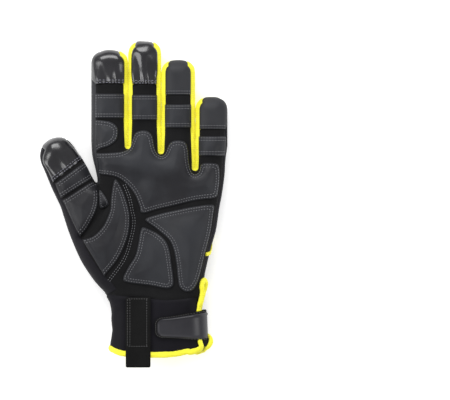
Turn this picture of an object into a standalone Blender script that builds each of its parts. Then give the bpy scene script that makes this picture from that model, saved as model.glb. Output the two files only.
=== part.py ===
"""A needle-resistant work glove for the left hand, lying on its back with the palm up.

The glove is cut from flat pieces, as the real one is. Every piece is a flat outline that is
cut into a net, laid on the form of a filled glove and given its thickness. The form follows
the distance from the glove's outline: it rises in a quarter of an ellipse from the edge and
runs flat inside. +X is the little finger's side, +Y the fingertips, +Z the palm.
"""

import math

import bmesh
import bpy
import numpy as np
from mathutils import Matrix

# Sizes of the hand, in metres
PALM_WIDTH = 0.104
PALM_LENGTH = 0.1624
FINGER_LENGTH = 0.0888
THUMB_WIDTH = 0.032
THUMB_LENGTH = 0.0718
THUMB_ANGLE = math.radians(22)
GLOVE_DEPTH = 0.022
EDGE_ROUND = 0.012
FINGER_GAP = 0.0008
TIP_DEPTH = 0.0112

# Sizes of the cut pieces
WALL = 0.0015
PAD_THICKNESS = 0.0013
PAD_LIFT = 0.0006
TIP_RAISE = 0.0004
CAP_GAP = 0.0007
GAP = 0.0003
FOURCHETTE_ANGLE = math.radians(45)
PIPING_WIDTH = 0.0024
PIPING_RAISE = 0.0005
SEAM_DIP = 0.0008

# Sizes at the wrist
SLIT_HALF = 0.0062
BINDING_WIDTH = 0.0042
BINDING_RAISE = 0.0006
BINDING_GAP = 0.0012
STRAP_WIDTH = 0.0184
STRAP_LIFT = 0.0013
STRAP_THICKNESS = 0.0016
STRAP_CORNER = 0.005
TAB_WIDTH = 0.0198
TAB_THICKNESS = 0.0016
TAB_OVERHANG = 0.0082
TAB_CORNER = 0.0012

# How finely the net is cut, for solids of few faces
PALM_ROWS = 15
FINGER_ROWS = 7
THUMB_COLUMNS = 8
STATION_LENGTH = 0.0105
CAP_REACH = 34
STATION_TURN = math.radians(30)

# Each finger's tip, as a share of the finger length above the palm length, and the line
# after it, as a share of the palm width. The web is the root of the gap after it.
FINGERS = (
    {"name": "index", "tip": 0.919, "line": -0.246, "web": 1.025, "palm_cap": 0.622, "back_cap": 0.640},
    {"name": "middle", "tip": 1.000, "line": 0.008, "web": 1.000, "palm_cap": 0.617, "back_cap": 0.690},
    {"name": "ring", "tip": 0.838, "line": 0.270, "web": 0.918, "palm_cap": 0.523, "back_cap": 0.580},
    {"name": "little", "tip": 0.505, "line": 0.519, "web": None, "palm_cap": 0.212, "back_cap": 0.370},
)
FIRST_LINE = -0.531

# Places as (share of palm width from the middle line, share of palm length from the cuff)
WRIST_LEFT = ((-0.392, -0.26), (-0.392, -0.079), (-0.385, 0.054), (-0.369, 0.128), (-0.373, 0.207),
              (-0.388, 0.266), (-0.423, 0.31), (-0.473, 0.345), (-0.523, 0.384), (-0.612, 0.473),
              (-0.692, 0.591))
WEB_SIDE = ((-0.503, 0.861), (-0.488, 0.856), (-0.483, 0.867), (-0.495, 0.911), (-0.523, 0.99),
            (-0.531, 1.064))
LITTLE_SIDE = ((0.519, 1.034), (0.504, 0.966), (0.496, 0.887), (0.477, 0.798), (0.454, 0.719),
               (0.431, 0.621), (0.392, 0.532), (0.362, 0.453), (0.341, 0.384), (0.333, 0.296),
               (0.335, 0.177), (0.342, 0.069), (0.346, -0.079), (0.346, -0.26))
THUMB_ROOT = (-0.554, 0.660)
THUMB_SEAM = ((-0.485, 0.852), (-0.438, 0.798), (-0.419, 0.734), (-0.454, 0.67), (-0.515, 0.616),
              (-0.615, 0.581))
THUMB_BACK_SEAM = ((-0.485, 0.852), (-0.485, 0.768), (-0.5, 0.695), (-0.496, 0.591),
                   (-0.465, 0.483), (-0.43, 0.39), (-0.372, 0.30))
WRIST_SEAM = ((-0.431, 0.303), (-0.346, 0.298), (-0.223, 0.296), (-0.092, 0.286), (0.046, 0.277),
              (0.192, 0.283), (0.331, 0.293))
CUFF_EDGE = ((-0.392, 0.054), (-0.323, 0.027), (-0.231, 0.007), (-0.115, -0.002), (0.0, -0.005),
             (0.115, -0.001), (0.231, 0.015), (0.346, 0.039))
KNUCKLE_SEAM = ((-0.531, 0.837), (-0.433, 0.869), (-0.292, 0.894), (-0.123, 0.907), (-0.031, 0.909),
                (0.092, 0.906), (0.288, 0.885), (0.473, 0.833))
PIPING = ((-0.53, 0.468), (-0.442, 0.502), (-0.381, 0.532), (-0.288, 0.596), (-0.219, 0.638),
          (-0.142, 0.658), (-0.046, 0.66), (0.05, 0.658), (0.204, 0.64), (0.296, 0.631),
          (0.358, 0.586), (0.443, 0.54))
SLIT_TOP = 0.389

# Places as (share of thumb width, share of thumb length) from the thumb's root
THUMB_EDGE = ((-0.519, 0.142), (-0.499, 0.282), (-0.525, 0.491), (-0.531, 0.709), (-0.537, 0.806),
              (-0.49, 0.894), (-0.359, 0.973), (-0.162, 1.012), (0.081, 1.0), (0.273, 0.942),
              (0.36, 0.859), (0.401, 0.769), (0.451, 0.676), (0.492, 0.573), (0.51, 0.473))
THUMB_TIP_ENDS = ((-0.36, 0.973), (0.273, 0.942))
THUMB_CAP = ((-0.60, 0.536), (0.60, 0.688))

# Pads sewn on the palm, outlines in palm shares
PALM_PADS = {
    "index_base_pad": ((-0.488, 1.16), (-0.423, 1.158), (-0.369, 1.15), (-0.331, 1.128),
                       (-0.323, 1.099), (-0.338, 1.062), (-0.392, 1.034), (-0.454, 1.02),
                       (-0.488, 1.007)),
    "palm_pad": ((-0.478, 0.998), (-0.392, 1.0), (-0.295, 1.005), (-0.246, 1.022), (-0.212, 1.065),
                 (-0.189, 1.096), (-0.15, 1.109), (-0.1, 1.108), (-0.062, 1.086), (-0.048, 1.042),
                 (-0.031, 1.008), (0.006, 0.987), (0.04, 0.997), (0.067, 1.036), (0.096, 1.056),
                 (0.153, 1.061), (0.197, 1.049), (0.215, 1.01), (0.223, 0.952), (0.245, 0.906),
                 (0.276, 0.895), (0.303, 0.912), (0.312, 0.939), (0.346, 0.95), (0.425, 0.948),
                 (0.452, 0.929), (0.458, 0.872), (0.448, 0.813), (0.423, 0.782), (0.263, 0.765),
                 (0.141, 0.746), (-0.007, 0.724), (-0.132, 0.704), (-0.155, 0.737),
                 (-0.189, 0.792), (-0.24, 0.836), (-0.309, 0.873), (-0.378, 0.888),
                 (-0.45, 0.897), (-0.472, 0.92)),
    "outer_heel_pad": ((-0.111, 0.672), (-0.007, 0.699), (0.141, 0.721), (0.263, 0.736),
                       (0.405, 0.744), (0.408, 0.699), (0.386, 0.604), (0.348, 0.51),
                       (0.318, 0.429), (0.29, 0.369), (0.25, 0.327), (0.195, 0.319),
                       (0.154, 0.34), (0.141, 0.374), (0.128, 0.447), (0.106, 0.526),
                       (0.063, 0.579), (-0.032, 0.63)),
    "centre_heel_pad": ((-0.123, 0.635), (-0.032, 0.609), (0.04, 0.571), (0.072, 0.526),
                        (0.092, 0.447), (0.105, 0.376), (0.096, 0.345), (0.048, 0.335),
                        (-0.062, 0.348), (-0.246, 0.364), (-0.28, 0.384), (-0.247, 0.432),
                        (-0.188, 0.495), (-0.163, 0.558), (-0.147, 0.616)),
    "thenar_pad": ((-0.35, 0.865), (-0.319, 0.86), (-0.272, 0.798), (-0.234, 0.715),
                   (-0.228, 0.652), (-0.252, 0.573), (-0.321, 0.479), (-0.419, 0.401),
                   (-0.469, 0.433), (-0.575, 0.555), (-0.505, 0.59), (-0.428, 0.645),
                   (-0.383, 0.715), (-0.371, 0.793)),
}
# Pads sewn on the thumb, outlines in thumb shares
THUMB_PADS = {
    "thumb_middle_pad": ((-0.345, 0.507), (0.41, 0.605), (0.42, 0.449), (-0.325, 0.36)),
    "thumb_root_pad": ((-0.325, 0.31), (0.44, 0.385), (0.42, 0.27), (0.36, 0.17), (0.22, 0.065),
                       (0.03, -0.005), (-0.17, -0.06), (-0.25, -0.05)),
}
# Pads sewn on the fingers, from and to shares of the finger length above the palm length
FINGER_PADS = {
    "index": (0.313, 0.533),
    "middle": (0.297, 0.523),
    "ring": (0.227, 0.436),
    "little": (-0.026, 0.150),
}

# The form's height along the glove: (station, palm side, back side) as shares of the depth.
# Stations run 0 to 1 over the palm length and 1 to 2 over the finger length.
LEVELS = ((-0.3, 1.10, 0.15), (0.22, 1.10, 0.15), (0.31, 1.06, 0.05), (0.40, 1.03, 0.0),
          (0.80, 1.0, 0.0), (1.0, 0.95, 0.0), (1.4, 0.86, 0.0), (2.2, 0.80, 0.0))
# Round rises of the palm: place and reach in palm shares, height as a share of the depth
MOUNDS = (
    {"at": (-0.42, 0.62), "reach": (0.21, 0.19), "height": 0.24},
    {"at": (0.24, 0.56), "reach": (0.20, 0.24), "height": 0.22},
    {"at": (0.10, 0.93), "reach": (0.42, 0.10), "height": 0.09},
    {"at": (-0.08, 0.70), "reach": (0.13, 0.14), "height": -0.08},
)
THUMB_CREASE = {"depth": 0.16, "reach": 0.030}

# The strap's ends and the pull tab's middle line, in palm shares
STRAP_PALM_END = -0.038
STRAP_BACK_END = -0.235
STRAP_MIDDLE = ((-0.4, 0.137), (-0.038, 0.1405), (0.346, 0.155))
TAB_LINE = -0.1655
TAB_TOP = 0.282

BLACK_SUEDE = ("black suede", (0.012, 0.012, 0.013), 0.85)
BLACK_KNIT = ("black knit", (0.022, 0.019, 0.025), 0.9)
NEOPRENE = ("black neoprene", (0.017, 0.015, 0.020), 0.7)
GREY_PAD = ("grey padded leather", (0.048, 0.050, 0.056), 0.55)
GREY_LEATHER = ("grey leather", (0.040, 0.040, 0.045), 0.5)
GLOSS_TIP = ("glossy tip", (0.022, 0.021, 0.026), 0.2)
YELLOW = ("yellow stretch cloth", (0.80, 0.86, 0.02), 0.6)
RUBBER = ("strap rubber", (0.045, 0.045, 0.050), 0.45)
WEBBING = ("black webbing", (0.011, 0.011, 0.011), 0.8)


def clear_scene():
    for obj in list(bpy.data.objects):
        bpy.data.objects.remove(obj)


def palm_place(share):
    return np.array((share[0] * PALM_WIDTH, share[1] * PALM_LENGTH))


def thumb_place(share):
    along = np.array((-math.sin(THUMB_ANGLE), math.cos(THUMB_ANGLE)))
    across = np.array((math.cos(THUMB_ANGLE), math.sin(THUMB_ANGLE)))
    reach = share[0] * THUMB_WIDTH * across + share[1] * THUMB_LENGTH * along
    return palm_place(THUMB_ROOT) + reach


def finger_height(share):
    """The y of a share of the finger length above the palm."""
    return PALM_LENGTH + share * FINGER_LENGTH


def curve_through(points, spacing, closed=False):
    """A smooth curve through the points, with a point about every spacing."""
    points = [np.asarray(p, float) for p in points]
    if closed:
        ring = [points[-1], *points, points[0], points[1]]
    else:
        ring = [2 * points[0] - points[1], *points, 2 * points[-1] - points[-2]]
    found = []
    for a, b, c, d in zip(ring, ring[1:], ring[2:], ring[3:]):
        steps = max(1, round(np.linalg.norm(c - b) / spacing))
        for t in np.arange(steps) / steps:
            found.append(0.5 * (2 * b + (c - a) * t + (2 * a - 5 * b + 4 * c - d) * t * t
                                + (3 * b - a - 3 * c + d) * t ** 3))
    if not closed:
        found.append(points[-1])
    return np.array(found)


def finger_edges(number):
    """The finger's two sides, as x, with half of each gap taken off."""
    before = FIRST_LINE if number == 0 else FINGERS[number - 1]["line"]
    left = before * PALM_WIDTH + (FINGER_GAP / 2 if number else 0)
    right = FINGERS[number]["line"] * PALM_WIDTH - (FINGER_GAP / 2 if number < 3 else 0)
    return left, right


def fingertip(number):
    """The blunt end of a finger, from its left side to its right side."""
    left, right = finger_edges(number)
    top = finger_height(FINGERS[number]["tip"])
    turn = np.linspace(math.pi, 0, 41)
    blunt = 2 / 2.5
    x = (left + right) / 2 + (right - left) / 2 * np.sign(np.cos(turn)) * np.abs(np.cos(turn)) ** blunt
    y = top - TIP_DEPTH + TIP_DEPTH * np.abs(np.sin(turn)) ** blunt
    return np.column_stack((x, y))


def make_outline(spacing):
    """The whole outline as points, clockwise from the wrist's thumb side, and its marks."""
    thumb_side = [palm_place(p) for p in WRIST_LEFT] + [thumb_place(p) for p in THUMB_EDGE]
    pieces = [curve_through(thumb_side + [palm_place(p) for p in WEB_SIDE], spacing)]
    for number, finger in enumerate(FINGERS):
        pieces.append(fingertip(number))
        if finger["web"]:
            turn = np.linspace(math.pi, 2 * math.pi, 9)
            middle = palm_place((finger["line"], finger["web"]))
            reach = FINGER_GAP / 2
            pieces.append(middle + reach * np.column_stack((np.cos(turn), np.sin(turn))))
    pieces.append(curve_through([palm_place(p) for p in LITTLE_SIDE], spacing))
    rough = np.vstack(pieces)
    found = [rough[0]]
    for a, b in zip(rough, rough[1:]):
        steps = max(1, math.ceil(np.linalg.norm(b - a) / spacing))
        found.extend(a + (b - a) * t for t in np.arange(1, steps + 1) / steps
                     if np.linalg.norm(b - a) > 1e-7)
    return np.array(found)


def inward_normals(points):
    ahead = np.roll(points, -1, axis=0) - points
    ahead /= np.linalg.norm(ahead, axis=1)[:, None]
    along = ahead + np.roll(ahead, 1, axis=0)
    along[0], along[-1] = ahead[0], ahead[-2]
    along /= np.linalg.norm(along, axis=1)[:, None]
    return np.column_stack((along[:, 1], -along[:, 0]))


OUTLINE = make_outline(0.0012)
NORMALS = inward_normals(OUTLINE)
EDGE_RISE = GLOVE_DEPTH / 2
EDGE_ARC = math.pi / 2 * math.hypot(EDGE_ROUND, EDGE_RISE) / math.sqrt(2)
SPREAD = EDGE_ARC - EDGE_ROUND


def inset_at(angle):
    """How far inside the outline the flat pattern is, at an angle of the round edge."""
    return EDGE_ROUND - EDGE_ARC * angle / (math.pi / 2)


def nearest_station(place):
    return int(np.argmin(np.linalg.norm(OUTLINE - place, axis=1)))


def edge_distance(points, first=0, last=None):
    """Each point's distance inside the outline, the nearest edge point and the way in.

    With a first and a last station, only that stretch of the outline counts.
    """
    stretch, normals = OUTLINE[first:last], NORMALS[first:last]
    a, run = stretch[:-1], stretch[1:] - stretch[:-1]
    length = (run ** 2).sum(axis=1)
    distance, near, inward = [], [], []
    for p in points:
        t = np.clip(((p - a) * run).sum(axis=1) / length, 0, 1)
        foot = a + run * t[:, None]
        gap = np.linalg.norm(p - foot, axis=1)
        k = int(np.argmin(gap))
        normal = normals[k] * (1 - t[k]) + normals[k + 1] * t[k]
        sign = 1 if (p - foot[k]) @ normal >= 0 else -1
        way = normal if gap[k] < 2e-4 else (p - foot[k]) * sign
        distance.append(sign * gap[k])
        near.append(foot[k])
        inward.append(way / np.linalg.norm(way))
    return np.array(distance), np.array(near), np.array(inward)


def station_along(y):
    over = (y - PALM_LENGTH) / FINGER_LENGTH
    return np.where(y < PALM_LENGTH, y / PALM_LENGTH, 1 + over)


def distance_to_line(points, line):
    best = np.full(len(points), np.inf)
    for a, b in zip(line, line[1:]):
        run = b - a
        t = np.clip((points - a) @ run / (run @ run), 0, 1)
        best = np.minimum(best, np.linalg.norm(points - a - t[:, None] * run, axis=1))
    return best


def level(points, side):
    """The height of the form's flat part at each place: the palm side is 1, the back -1."""
    table = np.array(LEVELS)
    station = station_along(points[:, 1])
    if side < 0:
        height = np.interp(station, table[:, 0], table[:, 2]) * GLOVE_DEPTH
        off = distance_to_line(points, [palm_place(p) for p in PIPING])
        return height + SEAM_DIP * np.exp(-(off / PIPING_WIDTH) ** 2)
    height = np.interp(station, table[:, 0], table[:, 1])
    for mound in MOUNDS:
        off = (points - palm_place(mound["at"])) / palm_place(mound["reach"])
        height = height + mound["height"] * np.exp(-(off ** 2).sum(axis=1))
    off = distance_to_line(points, [palm_place(p) for p in THUMB_SEAM])
    height -= THUMB_CREASE["depth"] * np.exp(-(off / (THUMB_CREASE["reach"] * PALM_WIDTH)) ** 2)
    return height * GLOVE_DEPTH


def middle_level(points):
    """The height of the glove's widest line, halfway between palm and back."""
    table = np.array(LEVELS)
    station = station_along(points[:, 1])
    top = np.interp(station, table[:, 0], table[:, 1])
    low = np.interp(station, table[:, 0], table[:, 2])
    return (top + low) / 2 * GLOVE_DEPTH


def round_edge(near, inward, angle, lift):
    """Places on the round edge: angle 0 is the palm's flat, a quarter turn the widest line."""
    flat = near + inward * (EDGE_ROUND * (1 - np.sin(angle)))[:, None]
    side = np.where(np.cos(angle) >= 0, 1, -1)
    middle = middle_level(flat)
    height = np.where(side > 0, level(flat, 1), level(flat, -1))
    inset = EDGE_ROUND - (EDGE_ROUND + lift) * np.sin(angle)
    z = middle + (height - middle + side * lift) * np.abs(np.cos(angle))
    return np.column_stack((near + inward * inset[:, None], z))


def draped(side, first=0, last=None):
    """Lays a flat pattern on the palm side or the back of the form."""
    def place(points, lift):
        distance, near, inward = edge_distance(points, first, last)
        angle = np.clip((EDGE_ROUND - distance) / EDGE_ARC, 0, 1) * math.pi / 2
        if side < 0:
            angle = math.pi - angle
        found = round_edge(near, inward, angle, lift)
        flat = distance >= EDGE_ROUND
        found[flat, :2] = points[flat]
        found[flat, 2] = level(points[flat], side) + side * lift
        return found
    return place


def wrist_edges(y):
    left = np.array([palm_place(p) for p in WRIST_LEFT])
    right = np.array([palm_place(p) for p in LITTLE_SIDE])[::-1]
    return np.interp(y, left[:, 1], left[:, 0]), np.interp(y, right[:, 1], right[:, 0])


def wrist_round():
    """The way round the wrist at the middle of the cuff, in metres."""
    left, right = wrist_edges(WRIST_LEFT[4][1] * PALM_LENGTH)
    return 2 * (right - left - 2 * EDGE_ROUND + 2 * EDGE_ARC)


def round_wrist(points, lift):
    """Lays (way round from the slit, y) on the wrist: the palm side is the first half."""
    whole = wrist_round()
    way = (points[:, 0] + whole / 2) % whole - whole / 2
    side = np.where(way >= 0, 1, -1)
    way = np.abs(way)
    y = points[:, 1]
    left, right = wrist_edges(y)
    flat_run = (whole / 2 - 2 * EDGE_ARC)
    share = np.clip((way - EDGE_ARC) / flat_run, 0, 1)
    from_left = way > whole / 4
    turn = np.where(from_left, whole / 2 - way, way)
    angle = (1 - np.clip(turn / EDGE_ARC, 0, 1)) * math.pi / 2
    angle = np.where(side > 0, angle, math.pi - angle)
    near = np.column_stack((np.where(from_left, left, right), y))
    inward = np.column_stack((np.where(from_left, 1.0, -1.0), np.zeros_like(y)))
    found = round_edge(near, inward, angle, lift)
    flat = turn > EDGE_ARC
    x = right - EDGE_ROUND - share * (right - left - 2 * EDGE_ROUND)
    middle = np.column_stack((x, y))
    height = np.where(side > 0, level(middle, 1), level(middle, -1)) + side * lift
    found[flat] = np.column_stack((middle, height))[flat]
    return found


def line_height(x, line):
    table = np.array([palm_place(p) for p in line])
    return np.interp(x, table[:, 0], table[:, 1])


def cuff_edge_height(x):
    return line_height(x, CUFF_EDGE)


def finish(name, bm, material):
    """Makes an object of the bmesh, with its own material and smooth round faces."""
    bmesh.ops.dissolve_degenerate(bm, edges=bm.edges, dist=2e-5)
    bmesh.ops.triangulate(bm, faces=bm.faces)
    bmesh.ops.recalc_face_normals(bm, faces=bm.faces)
    mesh = bpy.data.meshes.new(name)
    bm.to_mesh(mesh)
    bm.free()
    mesh.shade_smooth()
    mesh.set_sharp_from_angle(angle=math.radians(40))
    obj = bpy.data.objects.new(name, mesh)
    bpy.context.scene.collection.objects.link(obj)
    label, colour, roughness = material
    finish_of = bpy.data.materials.new(f"{name} {label}")
    finish_of.use_nodes = True
    shader = finish_of.node_tree.nodes["Principled BSDF"]
    shader.inputs["Base Color"].default_value = (*colour, 1)
    shader.inputs["Roughness"].default_value = roughness
    mesh.materials.append(finish_of)
    return obj


def shell(name, rim, across, along, place, low, high, material):
    """A cut piece: its flat rim, cut at the across and along lines, laid and given a wall."""
    bm = bmesh.new()
    bm.faces.new([bm.verts.new((p[0], p[1], 0)) for p in rim])
    bm.normal_update()
    if bm.faces[0:][0].normal.z < 0:
        bmesh.ops.reverse_faces(bm, faces=bm.faces)
    for lines, normal in ((across, (1, 0, 0)), (along, (0, 1, 0))):
        for at in lines:
            bmesh.ops.bisect_plane(bm, geom=bm.verts[:] + bm.edges[:] + bm.faces[:], dist=2e-4,
                                   plane_co=(at * normal[0], at * normal[1], 0), plane_no=normal)
    for face in [f for f in bm.faces if len(f.verts) == 4]:
        corners = sorted(face.verts, key=lambda v: v.co.x + v.co.y)
        if corners[-1] not in [e.other_vert(corners[0]) for e in corners[0].link_edges]:
            bmesh.utils.face_split(face, corners[0], corners[-1])
    bmesh.ops.triangulate(bm, faces=bm.faces)
    under = bm.verts[:]
    made = bmesh.ops.extrude_face_region(bm, geom=bm.faces[:], use_keep_orig=True)["geom"]
    over = [v for v in made if isinstance(v, bmesh.types.BMVert)]
    for verts, lift in ((under, low), (over, high)):
        flat = np.array([v.co[:2] for v in verts])
        for vert, co in zip(verts, place(flat, lift)):
            vert.co = co
    return finish(name, bm, material)


def column_lines():
    """The net's lines along the glove, four to a finger and a few over the thumb."""
    lines = []
    for number in range(4):
        left, right = finger_edges(number)
        lines += [left + (right - left) * share for share in (0.2, 0.4, 0.6, 0.8)]
    reach = thumb_place(THUMB_EDGE[4])[0]
    start = FIRST_LINE * PALM_WIDTH
    return lines + [start + (reach - start) * i / THUMB_COLUMNS for i in range(THUMB_COLUMNS)]


def row_lines():
    palm = [PALM_LENGTH * i / PALM_ROWS for i in range(-2, PALM_ROWS)]
    return palm + [PALM_LENGTH + FINGER_LENGTH * i / FINGER_ROWS for i in range(FINGER_ROWS + 1)]


def all_stations():
    """Stations of the whole outline, spaced by length and by how the outline turns."""
    ends = {k + near for k in MARKS.values() for near in (-1, 0, 1)}
    found, length, turned = {0}, 0.0, 0.0
    for k in range(1, len(OUTLINE)):
        length += np.linalg.norm(OUTLINE[k] - OUTLINE[k - 1])
        turned += math.acos(np.clip(NORMALS[k] @ NORMALS[k - 1], -1, 1))
        if k in ends:
            length, turned = 0.0, 0.0
        if length > STATION_LENGTH or turned > STATION_TURN:
            found.add(k)
            length, turned = 0.0, 0.0
    return sorted(found | ends)


def stations_between(first, last):
    """The stations from first to last, so that neighbouring pieces bend at the same places."""
    return [first] + [k for k in STATIONS if first < k < last] + [last]


def offset_chain(first, last, inset):
    stations = stations_between(min(first, last), max(first, last))
    if last < first:
        stations = stations[::-1]
    return [OUTLINE[k] + NORMALS[k] * inset for k in stations]


def marks():
    """Stations on the outline where pieces end."""
    found = {"web": nearest_station(palm_place(WEB_SIDE[1]))}
    found["thumb_tip_left"] = nearest_station(thumb_place(THUMB_TIP_ENDS[0]))
    found["thumb_tip_right"] = nearest_station(thumb_place(THUMB_TIP_ENDS[1]))
    left_wrist = line_height(WRIST_LEFT[5][0] * PALM_WIDTH, WRIST_SEAM)
    before_thumb = OUTLINE[:found["thumb_tip_left"], 1]
    found["wrist_left"] = int(np.argmin(np.abs(before_thumb - left_wrist)))
    found["thumb_seam_end"] = nearest_station(palm_place(THUMB_SEAM[-1]))
    after = nearest_station(palm_place(LITTLE_SIDE[0]))
    for name, y in (("slit_top", SLIT_TOP * PALM_LENGTH),
                    ("wrist_right", line_height(LITTLE_SIDE[9][0] * PALM_WIDTH, WRIST_SEAM))):
        found[name] = after + int(np.argmin(np.abs(OUTLINE[after:, 1] - y)))
    for number, finger in enumerate(FINGERS):
        left, right = finger_edges(number)
        top = finger_height(finger["tip"])
        for side, share in (("left", 0.22), ("right", 0.78)):
            place = np.array((left + (right - left) * share, top))
            found[f"{finger['name']}_tip_{side}"] = nearest_station(place)
        if finger["web"]:
            bottom = palm_place((finger["line"], finger["web"])) - (0, FINGER_GAP / 2)
            found[f"{finger['name']}_web"] = nearest_station(bottom)
    return found


MARKS = marks()
STATIONS = all_stations()


def side_strip(name, first, last, material):
    """A strip round the edge of the glove, between two stations of the outline."""
    stations = stations_between(first, last)
    lean = FOURCHETTE_ANGLE
    rows = np.linspace(lean, math.pi - lean, 5)
    end = len(stations) - 1

    def place(points, lift):
        # The strip's flat pattern counts stations and angles, and the gap is kept at its ends
        at = np.clip(points[:, 0], 0, end)
        low = np.minimum(at.astype(int), end - 1)
        part = (at - low)[:, None]
        k = np.array(stations)
        near = OUTLINE[k[low]] * (1 - part) + OUTLINE[k[low + 1]] * part
        inward = NORMALS[k[low]] * (1 - part) + NORMALS[k[low + 1]] * part
        inward /= np.linalg.norm(inward, axis=1)[:, None]
        return round_edge(near, inward, points[:, 1], lift)

    rim = [(0, rows[0]), (end, rows[0]), (end, rows[-1]), (0, rows[-1])]
    return shell(name, rim, range(1, end), rows[1:-1], place, -WALL, 0, material)


def shifted(line, by):
    """The line moved sideways, to the right of its run when by is positive."""
    line = np.asarray(line)
    run = np.gradient(line, axis=0)
    run /= np.linalg.norm(run, axis=1)[:, None]
    return line + by * np.column_stack((run[:, 1], -run[:, 0]))


def rim_inset():
    return inset_at(FOURCHETTE_ANGLE) + GAP


def face_chain(first, last):
    return offset_chain(first, last, rim_inset())


def clip_below(points, y):
    return [p for p in points if p[1] < y - GAP]


def finger_face(number, cap, rise):
    """The rim of one finger's face up to its cap, from its left root to its right root."""
    left, right = finger_edges(number)
    inset = rim_inset()
    y = finger_height(cap) - CAP_GAP / 2
    steps = np.linspace(0, 1, 5)[1:-1]
    x = left + inset + (right - left - 2 * inset) * steps
    bow = rise * (1 - (2 * steps - 1) ** 2)
    middle = [np.array(p) for p in zip(x, y + bow)]
    return [np.array((left + inset, y)), *middle, np.array((right - inset, y))]


def finger_faces(start, end, key, rise):
    """One rim over all four fingers, from a station on the index side to the little side."""
    rim = clip_below(face_chain(start, MARKS["index_tip_left"]), finger_height(FINGERS[0][key]))
    for number, finger in enumerate(FINGERS):
        rim += finger_face(number, finger[key], rise)
        before = MARKS[f"{finger['name']}_tip_right"]
        y = finger_height(finger[key])
        if not finger["web"]:
            return rim + clip_below(face_chain(before, end), y)
        line = finger["line"] * PALM_WIDTH
        after = FINGERS[number + 1]
        chain = face_chain(before, MARKS[f"{after['name']}_tip_left"])
        rim += clip_below([p for p in chain if p[0] < line], y)
        rim += clip_below([p for p in chain if p[0] >= line], finger_height(after[key]))


def net(name, rim, side, low, high, material, first=0, last=None):
    place = draped(side, first, last)
    return shell(name, rim, column_lines(), row_lines(), place, low, high, material)


def slit_side(first, last):
    """The rim beside the slit, where no strip covers the edge."""
    inset = SLIT_HALF - SPREAD + GAP / 2
    return [OUTLINE[k] + NORMALS[k] * inset for k in stations_between(first, last)]


def wrist_line(left_inset, right_inset, line, by):
    """Points along a seam line from the little finger's side to the thumb's side."""
    left = OUTLINE[MARKS["wrist_left"]][0] + left_inset
    right = OUTLINE[MARKS["wrist_right"]][0] - right_inset
    x = np.linspace(right, left, 9)
    return list(np.column_stack((x, line_height(x, line) + by)))


def seam_curve(line, spacing=0.006):
    return curve_through([palm_place(p) for p in line], spacing)


def make_palm():
    """The suede palm: one piece over the palm and the four fingers' faces."""
    rim = finger_faces(MARKS["web"] + 1, MARKS["slit_top"], "palm_cap", 0)
    rim += slit_side(MARKS["slit_top"] + 1, MARKS["wrist_right"] - 1)
    rim += wrist_line(rim_inset(), SLIT_HALF - SPREAD + GAP, WRIST_SEAM, GAP)
    seam = shifted(seam_curve(THUMB_SEAM), -GAP / 2)[::-1]
    rim += face_chain(MARKS["wrist_left"] + 1, MARKS["thumb_seam_end"] - 1)
    rim += [p for p in seam if edge_distance([p])[0][0] > rim_inset() + GAP]
    net("palm_panel", rim, 1, -WALL, 0, BLACK_SUEDE)


def make_thumb_panels():
    """The thumb's face and its back, each up to the cap."""
    cap = [thumb_place(p) for p in THUMB_CAP]
    run = (cap[1] - cap[0]) / np.linalg.norm(cap[1] - cap[0])
    up = np.array((-run[1], run[0]))
    for name, seam, side, material in (("thumb_panel", THUMB_SEAM, 1, BLACK_SUEDE),
                                       ("thumb_back_panel", THUMB_BACK_SEAM, -1, BLACK_SUEDE)):
        curve = shifted(seam_curve(seam), GAP / 2)
        curve = [p for p in curve if edge_distance([p])[0][0] > rim_inset() + GAP]
        end = MARKS["thumb_seam_end"] + 1 if side > 0 else MARKS["wrist_left"] + 1
        sides = face_chain(end, MARKS["thumb_tip_left"])
        left = [p for p in sides if (p - cap[0]) @ up < -2 * GAP]
        right = [p for p in face_chain(MARKS["thumb_tip_right"], MARKS["web"] - 1)
                 if (p - cap[0]) @ up < -2 * GAP]
        rim = left + cap_line(cap, up, -CAP_GAP / 2) + right + list(curve)
        net(name, rim, side, -WALL, 0, material)


def cap_line(cap, up, by):
    """The thumb cap's edge, trimmed to the thumb's face."""
    steps = cap[0] + (cap[1] - cap[0]) * np.linspace(0, 1, 60)[:, None] + up * by
    distance = edge_distance(steps)[0]
    inside = steps[distance > rim_inset()]
    return [inside[0], inside[len(inside) // 3], inside[2 * len(inside) // 3], inside[-1]]


def tip_wrap(left, right):
    """The rim of a cap round the tip, from the left strip's end to the right strip's end."""
    outer = [OUTLINE[k] - NORMALS[k] * (SPREAD - GAP / 2)
             for k in stations_between(left + 1, right - 1)]
    return outer


def make_caps():
    """A cap on the palm side and on the back of every fingertip."""
    for number, finger in enumerate(FINGERS):
        name = finger["name"]
        left, right = MARKS[f"{name}_tip_left"], MARKS[f"{name}_tip_right"]
        for side, key in ((1, "palm_cap"), (-1, "back_cap")):
            y = finger_height(finger[key])
            floor = finger_face(number, finger[key], 0 if side > 0 else 0.002)
            floor = [p + (0, CAP_GAP) for p in floor]
            rim = floor[::-1]
            rim += [p for p in face_chain(left - CAP_REACH, left + 1) if p[1] > y + 2 * GAP
                    and p[0] < (finger_edges(number)[0] + finger_edges(number)[1]) / 2]
            rim += tip_wrap(left, right)
            rim += [p for p in face_chain(right - 1, right + CAP_REACH) if p[1] > y + 2 * GAP
                    and p[0] > (finger_edges(number)[0] + finger_edges(number)[1]) / 2]
            glossy = side > 0 and name in ("index", "middle")
            material = GLOSS_TIP if glossy else GREY_LEATHER
            kind = "tip" if side > 0 else "back_tip"
            high = TIP_RAISE if side > 0 else 0
            net(f"{name}_{kind}", rim, side, -WALL, high, material, left - CAP_REACH, right + CAP_REACH)
    make_thumb_caps()


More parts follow.
